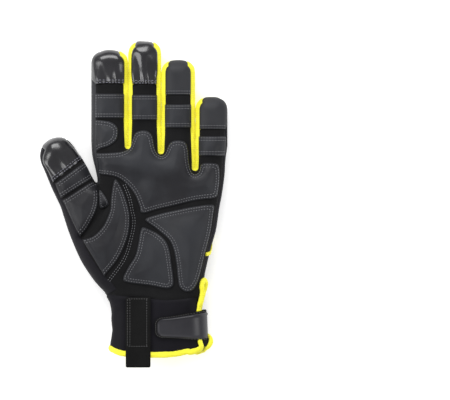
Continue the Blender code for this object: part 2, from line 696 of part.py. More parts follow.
def make_thumb_caps():
    cap = [thumb_place(p) for p in THUMB_CAP]
    run = (cap[1] - cap[0]) / np.linalg.norm(cap[1] - cap[0])
    up = np.array((-run[1], run[0]))
    left, right = MARKS["thumb_tip_left"], MARKS["thumb_tip_right"]
    for side, name, material in ((1, "thumb_tip", GLOSS_TIP), (-1, "thumb_back_tip", GREY_LEATHER)):
        rim = cap_line(cap, up, CAP_GAP / 2)[::-1]
        rim += [p for p in face_chain(left - CAP_REACH, left + 1) if (p - cap[0]) @ up > 2 * GAP]
        rim += tip_wrap(left, right)
        rim += [p for p in face_chain(right - 1, right + CAP_REACH) if (p - cap[0]) @ up > 2 * GAP]
        high = TIP_RAISE if side > 0 else 0
        net(name, rim, side, -WALL, high, material, left - CAP_REACH, right + CAP_REACH)


def make_back():
    """The back: a knit piece over the fingers, the knuckle band, piping and a lower knit piece."""
    seam = seam_curve(THUMB_BACK_SEAM, 0.008)
    seam = shifted(seam, -GAP / 2)
    knuckle = seam_curve(KNUCKLE_SEAM, 0.009)
    piping = seam_curve(PIPING, 0.006)
    half = PIPING_WIDTH / 2 + GAP / 2

    def inside(points, extra=0.0):
        return [p for p in points if edge_distance([p])[0][0] > rim_inset() + extra
                and p[0] > np.interp(p[1], seam[::-1, 1], seam[::-1, 0]) + GAP]

    left_of = nearest_station(palm_place(LITTLE_SIDE[0]))

    def little_side(low, high):
        return [p for p in face_chain(left_of, MARKS["slit_top"]) if low < p[1] < high]

    def thumb_side(low, high):
        return [p for p in seam if low < p[1] < high
                and edge_distance([p])[0][0] > rim_inset() + GAP]

    seam_top = inside(shifted(knuckle, -GAP / 2), GAP)
    rim = finger_faces(MARKS["web"] + 1, nearest_station(palm_place(LITTLE_SIDE[3])), "back_cap", 0.002)
    rim = [p for p in rim if p[1] > line_height(p[0], KNUCKLE_SEAM) + 2 * GAP]
    net("back_finger_panel", rim + seam_top[::-1], -1, -WALL, 0, BLACK_KNIT)

    top = inside(shifted(knuckle, GAP / 2), GAP)
    low = inside(shifted(piping, -half), GAP)
    rim = top + little_side(low[-1][1] + GAP, top[-1][1] - GAP) + low[::-1]
    rim += thumb_side(low[0][1] + GAP, top[0][1] - GAP)[::-1]
    net("knuckle_band", rim, -1, -WALL, 0, NEOPRENE)

    upper = inside(shifted(piping, -half + GAP), GAP)
    lower = inside(shifted(piping, half - GAP), GAP)
    net("knuckle_piping", upper + lower[::-1], -1, -WALL, PIPING_RAISE, YELLOW)

    top = inside(shifted(piping, half), GAP)
    rim = top + little_side(SLIT_TOP * PALM_LENGTH, top[-1][1] - GAP)
    rim += slit_side(MARKS["slit_top"] + 1, MARKS["wrist_right"] - 1)
    rim += [p for p in wrist_line(rim_inset(), SLIT_HALF - SPREAD + GAP, WRIST_SEAM, GAP)
            if p[0] > seam[-1][0] + GAP]
    rim += thumb_side(line_height(seam[-1][0], WRIST_SEAM) + GAP, top[0][1] - GAP)[::-1]
    net("lower_back_panel", rim, -1, -WALL, 0, BLACK_KNIT)


def make_side_strips():
    """The fourchettes between the fingers, and the strips along the outer edges."""
    for number in range(3):
        first, second = FINGERS[number]["name"], FINGERS[number + 1]["name"]
        side_strip(f"{first}_{second}_fourchette", MARKS[f"{first}_tip_right"],
                   MARKS[f"{second}_tip_left"], YELLOW)
    side_strip("thumb_side_strip", MARKS["wrist_left"] + 1, MARKS["thumb_tip_left"], BLACK_KNIT)
    side_strip("thumb_inner_strip", MARKS["thumb_tip_right"], MARKS["web"] - 1, BLACK_SUEDE)
    side_strip("index_side_strip", MARKS["web"] + 1, MARKS["index_tip_left"], GREY_LEATHER)
    side_strip("little_side_strip", MARKS["little_tip_right"], MARKS["slit_top"], BLACK_KNIT)


def make_pads():
    """The padded leather pieces, sewn on the suede."""
    high = PAD_LIFT + PAD_THICKNESS
    for name, table in PALM_PADS.items():
        rim = curve_through([palm_place(p) for p in table], 0.007, closed=True)
        net(name, rim, 1, PAD_LIFT, high, GREY_PAD)
    for name, table in THUMB_PADS.items():
        rim = curve_through([thumb_place(p) for p in table], 0.012, closed=True)
        net(name, rim, 1, PAD_LIFT, high, GREY_PAD)
    for number, finger in enumerate(FINGERS):
        left, right = finger_edges(number)
        inset = rim_inset() + GAP
        y0, y1 = (finger_height(share) for share in FINGER_PADS[finger["name"]])
        rim = [(left + inset, y0), (right - inset, y0), (right - inset, y1), (left + inset, y1)]
        net(f"{finger['name']}_pad", rim, 1, PAD_LIFT, high, GREY_PAD)


def make_cuff():
    """The neoprene cuff: a sleeve that is open along the slit."""
    whole = wrist_round()
    first, last = SLIT_HALF + GAP / 2, whole - SLIT_HALF - GAP / 2
    columns, rows = 26, 4

    def place(points, lift):
        way = first + (last - first) * points[:, 0] / columns
        nominal = np.full(len(way), 0.15 * PALM_LENGTH)
        x = round_wrist(np.column_stack((way, nominal)), 0)[:, 0]
        low = cuff_edge_height(x) + BINDING_WIDTH + GAP
        high = line_height(x, WRIST_SEAM) - GAP / 2
        y = low + (high - low) * points[:, 1] / rows
        return round_wrist(np.column_stack((way, y)), lift)

    rim = [(0, 0), (columns, 0), (columns, rows), (0, rows)]
    shell("cuff", rim, range(1, columns), range(1, rows), place, -WALL, 0, NEOPRENE)


def make_binding():
    """The stretch binding round the cuff's lower edge and up both sides of the slit."""
    whole = wrist_round()
    top = SLIT_TOP * PALM_LENGTH - BINDING_GAP
    columns = 26
    inner = SLIT_HALF - GAP / 2
    outer = inner - BINDING_WIDTH
    first, last = inner, whole - inner
    edge = line_height(wrist_edges(0.0)[1], CUFF_EDGE)

    def place(points, lift):
        way, y = points[:, 0], points[:, 1]
        x = round_wrist(np.column_stack((way, np.full(len(way), 0.15 * PALM_LENGTH))), 0)[:, 0]
        # Near the lower edge the strip follows it, and up the slit it runs straight
        follow = np.clip((top - y) / (top - edge - BINDING_WIDTH), 0, 1)
        y = y + (cuff_edge_height(x) - edge) * follow
        return round_wrist(np.column_stack((way, y)), lift)

    rim = [(outer, top), (outer, edge)]
    rim += [(whole - outer, edge), (whole - outer, top), (last, top)]
    rim += [(last, edge + BINDING_WIDTH), (first, edge + BINDING_WIDTH), (first, top)]
    across = [first + (last - first) * i / columns for i in range(columns + 1)]
    along = [edge + (top - edge) * i / 5 for i in range(1, 5)]
    shell("cuff_binding", rim, across, along, place, -WALL, BINDING_RAISE, YELLOW)


def rounded(x0, x1, y0, y1, corner, steps=3):
    """A rectangle with round corners, as points."""
    found = []
    for cx, cy, start in ((x1 - corner, y1 - corner, 0), (x0 + corner, y1 - corner, 90),
                          (x0 + corner, y0 + corner, 180), (x1 - corner, y0 + corner, 270)):
        for i in range(steps + 1):
            turn = math.radians(start + 90 * i / steps)
            found.append((cx + corner * math.cos(turn), cy + corner * math.sin(turn)))
    return found


def way_to(share, side):
    """The way round the wrist from the slit to a place across the palm side or the back."""
    y = STRAP_MIDDLE[1][1] * PALM_LENGTH
    left, right = wrist_edges(y)
    run = (right - EDGE_ROUND - share * PALM_WIDTH) / (right - left - 2 * EDGE_ROUND)
    flat_run = wrist_round() / 2 - 2 * EDGE_ARC
    return side * (EDGE_ARC + run * flat_run)


def make_strap():
    """The wrist strap: from the back of the cuff round the slit to the palm side."""
    back, palm = way_to(STRAP_BACK_END, -1), way_to(STRAP_PALM_END, 1)

    def place(points, lift):
        flat = points.copy()
        flat[:, 1] = 0.15 * PALM_LENGTH
        x = round_wrist(flat, 0)[:, 0]
        y = line_height(x, STRAP_MIDDLE) + points[:, 1]
        return round_wrist(np.column_stack((points[:, 0], y)), lift)

    rim = rounded(back, palm, -STRAP_WIDTH / 2, STRAP_WIDTH / 2, STRAP_CORNER)
    across = np.linspace(back, palm, 28)[1:-1]
    shell("wrist_strap", rim, across, (0,), place, STRAP_LIFT, STRAP_LIFT + STRAP_THICKNESS, RUBBER)


def make_pull_tab():
    """The folded webbing tab on the palm side, which hangs past the cuff's edge."""
    middle = TAB_LINE * PALM_WIDTH
    low = cuff_edge_height(np.array([middle]))[0] - TAB_OVERHANG
    rim = rounded(middle - TAB_WIDTH / 2, middle + TAB_WIDTH / 2, low, TAB_TOP * PALM_LENGTH,
                  TAB_CORNER, 1)
    lift = BINDING_RAISE + GAP
    rows = np.linspace(low, TAB_TOP * PALM_LENGTH, 8)[1:-1]
    shell("pull_tab", rim, (middle,), rows, draped(1), lift, lift + TAB_THICKNESS, WEBBING)


def centre_all():
    """Moves every piece so that the origin is under the middle of the whole glove."""
    meshes = [obj.data for obj in bpy.context.scene.objects]
    places = np.array([v.co[:] for mesh in meshes for v in mesh.vertices])
    low, high = places.min(axis=0), places.max(axis=0)
    middle = (low + high) / 2
    for mesh in meshes:
        mesh.transform(Matrix.Translation((-middle[0], -middle[1], -low[2])))


def main():
    clear_scene()
    make_palm()
    make_thumb_panels()
    make_back()
    make_side_strips()
    make_caps()
    make_pads()
    make_cuff()
    make_binding()
    make_strap()
    make_pull_tab()
    centre_all()


main()
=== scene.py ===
# %% [markdown]
# # The looks of a needle-resistant work glove
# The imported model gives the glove's size and the place of every piece, but its pieces are plain.
# Here each piece is made again from the same flat pattern, finer, with its padding, seams,
# stitches and finish, and stands in for the plain one.

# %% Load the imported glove
import math

import bmesh
import bpy
import numpy as np
from mathutils import Matrix, Vector, noise
from mathutils.kdtree import KDTree


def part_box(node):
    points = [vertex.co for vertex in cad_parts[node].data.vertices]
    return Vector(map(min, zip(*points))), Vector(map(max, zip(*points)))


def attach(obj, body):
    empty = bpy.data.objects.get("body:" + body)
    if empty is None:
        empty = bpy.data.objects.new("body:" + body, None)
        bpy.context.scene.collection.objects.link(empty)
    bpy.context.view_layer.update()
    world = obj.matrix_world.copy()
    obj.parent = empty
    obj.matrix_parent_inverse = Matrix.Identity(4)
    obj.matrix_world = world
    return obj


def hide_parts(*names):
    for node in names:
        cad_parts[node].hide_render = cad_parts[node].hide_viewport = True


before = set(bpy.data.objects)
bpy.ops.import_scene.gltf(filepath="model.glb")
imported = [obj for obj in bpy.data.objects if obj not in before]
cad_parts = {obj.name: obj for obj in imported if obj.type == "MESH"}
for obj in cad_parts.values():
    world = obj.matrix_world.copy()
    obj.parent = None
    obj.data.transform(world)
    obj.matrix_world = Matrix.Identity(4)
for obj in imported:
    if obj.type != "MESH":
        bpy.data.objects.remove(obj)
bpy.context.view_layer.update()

# %% [markdown]
# ## The pattern
# A glove is cut from flat pieces, so everything starts from the glove's outline, seen from above
# with the palm up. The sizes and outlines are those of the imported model, in metres and in shares
# of the palm's width and length, of a finger's length and of the thumb's width and length.

# %% Sizes of the hand and of the cut pieces
PALM_WIDTH = 0.104
PALM_LENGTH = 0.1624
FINGER_LENGTH = 0.0888
THUMB_WIDTH = 0.032
THUMB_LENGTH = 0.0718
THUMB_ANGLE = math.radians(22)
GLOVE_DEPTH = 0.022
EDGE_ROUND = 0.012
FINGER_GAP = 0.0008
TIP_DEPTH = 0.0112
WALL = 0.0015
SEAM_GAP = 0.00006
SEAM_ROOM = 0.0002
FACE_ANGLE = math.radians(51)
SPACING = 0.0005

# %% The four fingers and the outline's sides
FINGERS = (
    {"name": "index", "tip": 0.927, "line": -0.246, "web": 1.034, "palm_cap": 0.622, "back_cap": 0.640},
    {"name": "middle", "tip": 1.009, "line": 0.008, "web": 1.009, "palm_cap": 0.617, "back_cap": 0.690},
    {"name": "ring", "tip": 0.838, "line": 0.270, "web": 0.927, "palm_cap": 0.523, "back_cap": 0.580},
    {"name": "little", "tip": 0.505, "line": 0.519, "web": None, "palm_cap": 0.212, "back_cap": 0.370},
)
FIRST_LINE = -0.531
WRIST_LEFT = ((-0.392, -0.26), (-0.392, -0.079), (-0.385, 0.054), (-0.369, 0.128), (-0.373, 0.207),
              (-0.388, 0.266), (-0.423, 0.31), (-0.473, 0.345), (-0.523, 0.384), (-0.612, 0.473),
              (-0.692, 0.591))
WEB_SIDE = ((-0.503, 0.861), (-0.488, 0.856), (-0.483, 0.867), (-0.495, 0.911), (-0.523, 0.99),
            (-0.531, 1.064))
LITTLE_SIDE = ((0.519, 1.034), (0.504, 0.966), (0.496, 0.887), (0.477, 0.798), (0.454, 0.719),
               (0.431, 0.621), (0.392, 0.532), (0.362, 0.453), (0.341, 0.384), (0.333, 0.296),
               (0.335, 0.177), (0.342, 0.069), (0.346, -0.079), (0.346, -0.26))
THUMB_ROOT = (-0.554, 0.660)
THUMB_EDGE = ((-0.519, 0.142), (-0.499, 0.282), (-0.525, 0.491), (-0.531, 0.709), (-0.537, 0.806),
              (-0.49, 0.894), (-0.359, 0.973), (-0.162, 1.012), (0.081, 1.0), (0.273, 0.942),
              (0.36, 0.859), (0.401, 0.769), (0.451, 0.676), (0.492, 0.573), (0.51, 0.473))
THUMB_TIP_ENDS = ((-0.36, 0.973), (0.273, 0.942))
THUMB_CAP = ((-0.60, 0.536), (0.60, 0.688))

# %% [markdown]
# The seams and the wrist's edges are lines across the palm or the back, in palm shares.

# %% The seam lines
THUMB_SEAM = ((-0.485, 0.852), (-0.438, 0.798), (-0.419, 0.734), (-0.454, 0.67), (-0.515, 0.616),
              (-0.615, 0.581))
THUMB_BACK_SEAM = ((-0.485, 0.852), (-0.485, 0.768), (-0.5, 0.695), (-0.496, 0.591),
                   (-0.465, 0.483), (-0.43, 0.39), (-0.372, 0.30))
WRIST_SEAM = ((-0.431, 0.303), (-0.346, 0.298), (-0.223, 0.296), (-0.092, 0.286), (0.046, 0.277),
              (0.192, 0.283), (0.331, 0.293))
CUFF_EDGE = ((-0.392, 0.034), (-0.323, 0.010), (-0.231, -0.001), (-0.115, -0.004), (0.0, -0.005),
             (0.115, -0.001), (0.231, 0.015), (0.346, 0.039))
KNUCKLE_SEAM = ((-0.531, 0.837), (-0.433, 0.869), (-0.292, 0.894), (-0.123, 0.907), (-0.031, 0.909),
                (0.092, 0.906), (0.288, 0.885), (0.473, 0.833))
PIPING = ((-0.53, 0.468), (-0.442, 0.502), (-0.381, 0.532), (-0.288, 0.596), (-0.219, 0.638),
          (-0.142, 0.658), (-0.046, 0.66), (0.05, 0.658), (0.204, 0.64), (0.296, 0.631),
          (0.358, 0.586), (0.443, 0.54))
SLIT_TOP = 0.389


# %% Places and smooth curves
def palm_place(share):
    return np.array((share[0] * PALM_WIDTH, share[1] * PALM_LENGTH))


def thumb_place(share):
    along = np.array((-math.sin(THUMB_ANGLE), math.cos(THUMB_ANGLE)))
    across = np.array((math.cos(THUMB_ANGLE), math.sin(THUMB_ANGLE)))
    reach = share[0] * THUMB_WIDTH * across + share[1] * THUMB_LENGTH * along
    return palm_place(THUMB_ROOT) + reach


def finger_height(share):
    return PALM_LENGTH + share * FINGER_LENGTH


def curve_through(points, spacing, closed=False):
    """A smooth curve through the points, with a point about every spacing."""
    points = [np.asarray(p, float) for p in points]
    if closed:
        ring = [points[-1], *points, points[0], points[1]]
    else:
        ring = [2 * points[0] - points[1], *points, 2 * points[-1] - points[-2]]
    found = []
    for a, b, c, d in zip(ring, ring[1:], ring[2:], ring[3:]):
        steps = max(1, round(np.linalg.norm(c - b) / spacing))
        for t in np.arange(steps) / steps:
            found.append(0.5 * (2 * b + (c - a) * t + (2 * a - 5 * b + 4 * c - d) * t * t
                                + (3 * b - a - 3 * c + d) * t ** 3))
    if not closed:
        found.append(points[-1])
    return np.array(found)


def seam_curve(line, spacing=0.0015):
    return curve_through([palm_place(p) for p in line], spacing)


# %% The outline, clockwise from the wrist's thumb side
def finger_edges(number):
    """The finger's two sides, as x, with half of each gap taken off."""
    before = FIRST_LINE if number == 0 else FINGERS[number - 1]["line"]
    left = before * PALM_WIDTH + (FINGER_GAP / 2 if number else 0)
    right = FINGERS[number]["line"] * PALM_WIDTH - (FINGER_GAP / 2 if number < 3 else 0)
    return left, right


def fingertip(number):
    """The blunt end of a finger, from its left side to its right side."""
    left, right = finger_edges(number)
    top = finger_height(FINGERS[number]["tip"])
    turn = np.linspace(math.pi, 0, 81)
    blunt = 2 / 2.5
    x = (left + right) / 2 + (right - left) / 2 * np.sign(np.cos(turn)) * np.abs(np.cos(turn)) ** blunt
    y = top - TIP_DEPTH + TIP_DEPTH * np.abs(np.sin(turn)) ** blunt
    return np.column_stack((x, y))


def make_outline(spacing):
    thumb_side = [palm_place(p) for p in WRIST_LEFT] + [thumb_place(p) for p in THUMB_EDGE]
    pieces = [curve_through(thumb_side + [palm_place(p) for p in WEB_SIDE], spacing)]
    for number, finger in enumerate(FINGERS):
        pieces.append(fingertip(number))
        if finger["web"]:
            turn = np.linspace(math.pi, 2 * math.pi, 17)
            middle = palm_place((finger["line"], finger["web"]))
            reach = FINGER_GAP / 2
            pieces.append(middle + reach * np.column_stack((np.cos(turn), np.sin(turn))))
    pieces.append(curve_through([palm_place(p) for p in LITTLE_SIDE], spacing))
    rough = np.vstack(pieces)
    found = [rough[0]]
    for a, b in zip(rough, rough[1:]):
        steps = max(1, math.ceil(np.linalg.norm(b - a) / spacing))
        found.extend(a + (b - a) * t for t in np.arange(1, steps + 1) / steps
                     if np.linalg.norm(b - a) > 1e-7)
    return np.array(found)


def inward_normals(points):
    ahead = np.roll(points, -1, axis=0) - points
    ahead /= np.linalg.norm(ahead, axis=1)[:, None]
    along = ahead + np.roll(ahead, 1, axis=0)
    along[0], along[-1] = ahead[0], ahead[-2]
    along /= np.linalg.norm(along, axis=1)[:, None]
    return np.column_stack((along[:, 1], -along[:, 0]))


OUTLINE = make_outline(SPACING)
NORMALS = inward_normals(OUTLINE)
EDGE_RISE = GLOVE_DEPTH / 2
EDGE_ARC = math.pi / 2 * math.hypot(EDGE_ROUND, EDGE_RISE) / math.sqrt(2)
SPREAD = EDGE_ARC - EDGE_ROUND


def inset_at(angle):
    """How far inside the outline the flat pattern is, at an angle of the round edge."""
    return EDGE_ROUND - EDGE_ARC * angle / (math.pi / 2) + SEAM_GAP


FACE_INSET = inset_at(FACE_ANGLE)
print("outline:", len(OUTLINE), "points; faces start", round(FACE_INSET * 1000, 1), "mm inside it")


# %% [markdown]
# ## The form of a filled glove
# A flat pattern is laid on a form, as leather is on a hand. Seen in section, the form rises from
# the outline in a quarter of an ellipse and runs flat inside. How far a point is inside the
# outline therefore says how high it lies. A search tree finds the nearest outline point quickly.

# %% Distance inside the outline
def tree_of(points, first=0):
    tree = KDTree(len(points))
    for number, p in enumerate(points):
        tree.insert((p[0], p[1], 0), first + number)
    tree.balance()
    return tree


WHOLE_EDGE = tree_of(OUTLINE)
NEAR_EDGE = 0.0003


def unit(vectors):
    return vectors / np.maximum(np.linalg.norm(vectors, axis=1), 1e-12)[:, None]


def edge_distance(points, edge=WHOLE_EDGE):
    """Each point's distance inside the outline, the nearest edge point and the way in."""
    nearest = np.array([edge.find((p[0], p[1], 0))[1] for p in points])
    best = np.full(len(points), np.inf)
    near, normal = np.zeros((len(points), 2)), np.zeros((len(points), 2))
    for step in (-1, 0):
        k = np.clip(nearest + step, 0, len(OUTLINE) - 2)
        run = OUTLINE[k + 1] - OUTLINE[k]
        t = ((points - OUTLINE[k]) * run).sum(axis=1) / (run ** 2).sum(axis=1)
        t = np.clip(t, 0, 1)[:, None]
        foot = OUTLINE[k] + run * t
        gap = np.linalg.norm(points - foot, axis=1)
        better = gap < best
        best[better] = gap[better]
        near[better] = foot[better]
        normal[better] = (NORMALS[k] * (1 - t) + NORMALS[k + 1] * t)[better]
    sign = np.where(((points - near) * normal).sum(axis=1) >= 0, 1, -1)
    way = np.where((best < NEAR_EDGE)[:, None], normal, (points - near) * sign[:, None])
    return sign * best, near, unit(way)


def distance_to_line(points, line):
    best = np.full(len(points), np.inf)
    for a, b in zip(line, line[1:]):
        run = b - a
        t = np.clip((points - a) @ run / (run @ run), 0, 1)
        best = np.minimum(best, np.linalg.norm(points - a - t[:, None] * run, axis=1))
    return best


# %% [markdown]
# The flat part isn't quite flat. A table gives its height along the glove, low round mounds stand
# for the ball of the thumb and the heel of the hand, and soft folds are ridges and valleys along
# short lines. The reach of a fold is how wide it is, and a valley has a height below nothing.

# %% The form's height, its mounds and its folds
LEVELS = ((-0.3, 1.10, 0.15), (0.22, 1.10, 0.15), (0.31, 1.06, 0.05), (0.40, 1.03, 0.0),
          (0.80, 1.0, 0.0), (1.0, 0.95, 0.0), (1.4, 0.86, 0.0), (2.2, 0.80, 0.0))
MOUNDS = (
    {"at": (-0.42, 0.62), "reach": (0.21, 0.19), "height": 0.24},
    {"at": (0.24, 0.56), "reach": (0.20, 0.24), "height": 0.22},
    {"at": (0.10, 0.93), "reach": (0.42, 0.10), "height": 0.09},
    {"at": (-0.08, 0.70), "reach": (0.13, 0.14), "height": -0.08},
)
PALM_FOLDS = (
    {"from": (-0.485, 0.852), "to": (-0.419, 0.734), "reach": 0.0030, "height": -0.0030},
    {"from": (-0.419, 0.734), "to": (-0.60, 0.585), "reach": 0.0034, "height": -0.0036},
    {"from": (-0.50, 0.93), "to": (-0.16, 0.86), "reach": 0.007, "height": -0.0014},
    {"from": (-0.16, 0.86), "to": (0.12, 0.82), "reach": 0.009, "height": -0.0009},
    {"from": (-0.30, 0.99), "to": (0.34, 0.87), "reach": 0.008, "height": 0.0007},
    {"from": (-0.19, 0.72), "to": (-0.23, 0.50), "reach": 0.003, "height": -0.0011},
    {"from": (-0.10, 0.66), "to": (0.12, 0.44), "reach": 0.003, "height": -0.0009},
    {"from": (-0.30, 0.33), "to": (0.16, 0.31), "reach": 0.004, "height": -0.0008},
    {"from": (-0.35, 0.02), "to": (-0.33, 0.22), "reach": 0.003, "height": -0.0007},
    {"from": (-0.06, 0.03), "to": (-0.05, 0.27), "reach": 0.004, "height": -0.0005},
    {"from": (0.22, 0.22), "to": (0.31, 0.30), "reach": 0.003, "height": -0.0008},
)
SEAM_DIP = 0.0008
PIPING_WIDTH = 0.0024
FINGER_PADS = {"index": (0.313, 0.533), "middle": (0.297, 0.523), "ring": (0.227, 0.436),
               "little": (-0.026, 0.150)}


def read_table(at, table, column, reach=0.05):
    """Reads a column of a table, with its corners rounded."""
    rows = np.array(table)
    steps = np.linspace(-reach, reach, 5)
    return np.mean([np.interp(at + step, rows[:, 0], rows[:, column]) for step in steps], axis=0)


def soft_waves(points, size, height):
    """A low random unevenness, the same each run."""
    return height * np.array([noise.noise(Vector((p[0] / size, p[1] / size, 0.4))) for p in points])


def finger_dips(points):
    """The valleys across each finger's face where the suede shows between its pads."""
    lift = np.zeros(len(points))
    for number, finger in enumerate(FINGERS):
        left, right = finger_edges(number)
        inside = (points[:, 0] > left) & (points[:, 0] < right)
        low, high = FINGER_PADS[finger["name"]]
        for share, reach, depth in ((0.5 * (high + finger["palm_cap"]), 0.0036, 0.0013),
                                    (low - 0.05, 0.004, 0.0010)):
            off = (points[:, 1] - finger_height(share)) / reach
            lift -= inside * depth * np.exp(-off ** 2)
    return lift


def folded(points, folds, place):
    """Ridges and valleys along short lines. One with a fade grows weaker towards its start."""
    lift = np.zeros(len(points))
    for fold in folds:
        start, end = place(fold["from"]), place(fold["to"])
        run = end - start
        t = np.clip((points - start) @ run / (run @ run), 0, 1)
        off = np.linalg.norm(points - start - t[:, None] * run, axis=1)
        strength = 1 - fold.get("fade", 0) * (1 - t)
        lift += fold["height"] * strength * np.exp(-(off / fold["reach"]) ** 2)
    return lift


def station_along(y):
    return np.where(y < PALM_LENGTH, y / PALM_LENGTH, 1 + (y - PALM_LENGTH) / FINGER_LENGTH)


def level(points, side):
    """The height of the form's flat part: the palm side is 1, the back -1."""
    station = station_along(points[:, 1])
    if side < 0:
        height = read_table(station, LEVELS, 2) * GLOVE_DEPTH
        off = distance_to_line(points, [palm_place(p) for p in PIPING])
        return height + SEAM_DIP * np.exp(-(off / PIPING_WIDTH) ** 2)
    height = read_table(station, LEVELS, 1)
    for mound in MOUNDS:
        off = (points - palm_place(mound["at"])) / palm_place(mound["reach"])
        height = height + mound["height"] * np.exp(-(off ** 2).sum(axis=1))
    lift = folded(points, PALM_FOLDS, palm_place) + finger_dips(points)
    return height * GLOVE_DEPTH + lift + soft_waves(points, 0.017, 0.0005)


def middle_level(points):
    station = station_along(points[:, 1])
    return (read_table(station, LEVELS, 1) + read_table(station, LEVELS, 2)) / 2 * GLOVE_DEPTH


# %% [markdown]
# Two ways lay a flat pattern on the form. Faces and pads are draped from above or below. The
# sleeve of the cuff, its binding and the strap are wound round the wrist, so their pattern runs
# round it from the slit on the little finger's side.

# %% Laying a pattern on the form
def round_edge(near, inward, angle, lift):
    """Places on the round edge: angle 0 is the palm's flat, a quarter turn the widest line."""
    flat = near + inward * (EDGE_ROUND * (1 - np.sin(angle)))[:, None]
    side = np.where(np.cos(angle) >= 0, 1, -1)
    middle = middle_level(flat)
    height = np.where(side > 0, level(flat, 1), level(flat, -1))
    inset = EDGE_ROUND - (EDGE_ROUND + lift) * np.sin(angle)
    z = middle + (height - middle + side * lift) * np.abs(np.cos(angle))
    return np.column_stack((near + inward * inset[:, None], z))


def draped(side, edge=WHOLE_EDGE):
    """Lays a flat pattern on the palm side or the back, at any lift above the form."""
    def lay(points):
        distance, near, inward = edge_distance(points, edge)
        angle = np.clip((EDGE_ROUND - distance) / EDGE_ARC, 0, 1) * math.pi / 2
        if side < 0:
            angle = math.pi - angle
        flat = distance >= EDGE_ROUND
        height = level(points, side)

        def at(lift):
            lift = np.broadcast_to(lift, len(points))
            found = round_edge(near, inward, angle, lift)
            found[flat, :2] = points[flat]
            found[flat, 2] = height[flat] + side * lift[flat]
            return found
        return at
    return lay


def wrist_edges(y):
    left = np.array([palm_place(p) for p in WRIST_LEFT])
    right = np.array([palm_place(p) for p in LITTLE_SIDE])[::-1]
    return np.interp(y, left[:, 1], left[:, 0]), np.interp(y, right[:, 1], right[:, 0])


WRIST_ROUND = 2 * (np.ptp(wrist_edges(WRIST_LEFT[4][1] * PALM_LENGTH)) - 2 * EDGE_ROUND + 2 * EDGE_ARC)


def round_wrist(points, lift):
    """Lays (way round from the slit, y) on the wrist: the palm side is the first half."""
    way = (points[:, 0] + WRIST_ROUND / 2) % WRIST_ROUND - WRIST_ROUND / 2
    side = np.where(way >= 0, 1, -1)
    way = np.abs(way)
    y = points[:, 1]
    left, right = wrist_edges(y)
    share = np.clip((way - EDGE_ARC) / (WRIST_ROUND / 2 - 2 * EDGE_ARC), 0, 1)
    from_left = way > WRIST_ROUND / 4
    turn = np.where(from_left, WRIST_ROUND / 2 - way, way)
    angle = (1 - np.clip(turn / EDGE_ARC, 0, 1)) * math.pi / 2
    angle = np.where(side > 0, angle, math.pi - angle)
    near = np.column_stack((np.where(from_left, left, right), y))
    inward = np.column_stack((np.where(from_left, 1.0, -1.0), np.zeros_like(y)))
    lift = np.broadcast_to(lift, len(points))
    found = round_edge(near, inward, angle, lift)
    flat = turn > EDGE_ARC
    middle = np.column_stack((right - EDGE_ROUND - share * (right - left - 2 * EDGE_ROUND), y))
    height = np.where(side > 0, level(middle, 1), level(middle, -1)) + side * lift
    found[flat] = np.column_stack((middle, height))[flat]
    return found


def wound(points):
    return lambda lift: round_wrist(points, lift)


def line_height(x, line):
    table = np.array([palm_place(p) for p in line])
    return np.interp(x, table[:, 0], table[:, 1])


def cuff_edge_height(x):
    steps = (-0.003, -0.0015, 0, 0.0015, 0.003)
    return np.mean([line_height(x + step, CUFF_EDGE) for step in steps], axis=0)


# %% [markdown]
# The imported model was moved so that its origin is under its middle. The pull tab's box tells by
# how much, and every finished piece is moved by the same step.

# %% From the pattern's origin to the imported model's
TAB_LINE = -0.1655 * PALM_WIDTH
TAB_OVERHANG = 0.0082
tab_low, tab_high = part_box("pull_tab")
tab_end = line_height(TAB_LINE, CUFF_EDGE) - TAB_OVERHANG
SHIFT = Vector(((tab_low.x + tab_high.x) / 2 - TAB_LINE, tab_low.y - tab_end, 0))
print("pattern origin sits at", [round(1000 * x, 2) for x in SHIFT], "mm")


# %% [markdown]
# ## Finishes
# Grain, weave and uneven colour are needed by several finishes, so each is a node group with its
# own inputs. A group puts out a height or a mask, and the material decides what it does.

# %% Helpers for node trees
def group_of(name, inputs, outputs):
    tree = bpy.data.node_groups.new(name, "ShaderNodeTree")
    for label, value in inputs.items():
        kind = "NodeSocketVector" if value is None else "NodeSocketFloat"
        socket = tree.interface.new_socket(label, in_out="INPUT", socket_type=kind)
        if value is not None:
            socket.default_value = value
    for label in outputs:
        tree.interface.new_socket(label, in_out="OUTPUT", socket_type="NodeSocketFloat")
    return tree, tree.nodes.new("NodeGroupInput"), tree.nodes.new("NodeGroupOutput")


def add(tree, kind, values=None, **settings):
    """A node with settings, and with input values or links from other nodes' outputs."""
    node = tree.nodes.new(kind)
    for key, value in settings.items():
        setattr(node, key, value)
    for key, value in (values or {}).items():
        if isinstance(value, bpy.types.NodeSocket):
            tree.links.new(value, node.inputs[key])
        else:
            node.inputs[key].default_value = value
    return node


def maths(tree, operation, first, second=0.5):
    return add(tree, "ShaderNodeMath", {0: first, 1: second}, operation=operation).outputs[0]


# %% The grain of leather, moulded plastic and suede
def make_grain():
    tree, given, out = group_of("Grain", {"Vector": None, "Scale": 900.0, "Softness": 0.5}, ["Height"])
    cells = add(tree, "ShaderNodeTexVoronoi", {"Vector": given.outputs["Vector"],
                                               "Scale": given.outputs["Scale"]},
                feature="SMOOTH_F1")
    finer = maths(tree, "MULTIPLY", given.outputs["Scale"], 1.7)
    specks = add(tree, "ShaderNodeTexNoise", {"Vector": given.outputs["Vector"], "Scale": finer,
                                              "Detail": 4.0})
    mixed = add(tree, "ShaderNodeMix", {"Factor": given.outputs["Softness"],
                                        "A": cells.outputs["Distance"],
                                        "B": specks.outputs["Fac"]})
    tree.links.new(mixed.outputs["Result"], out.inputs["Height"])
    return tree


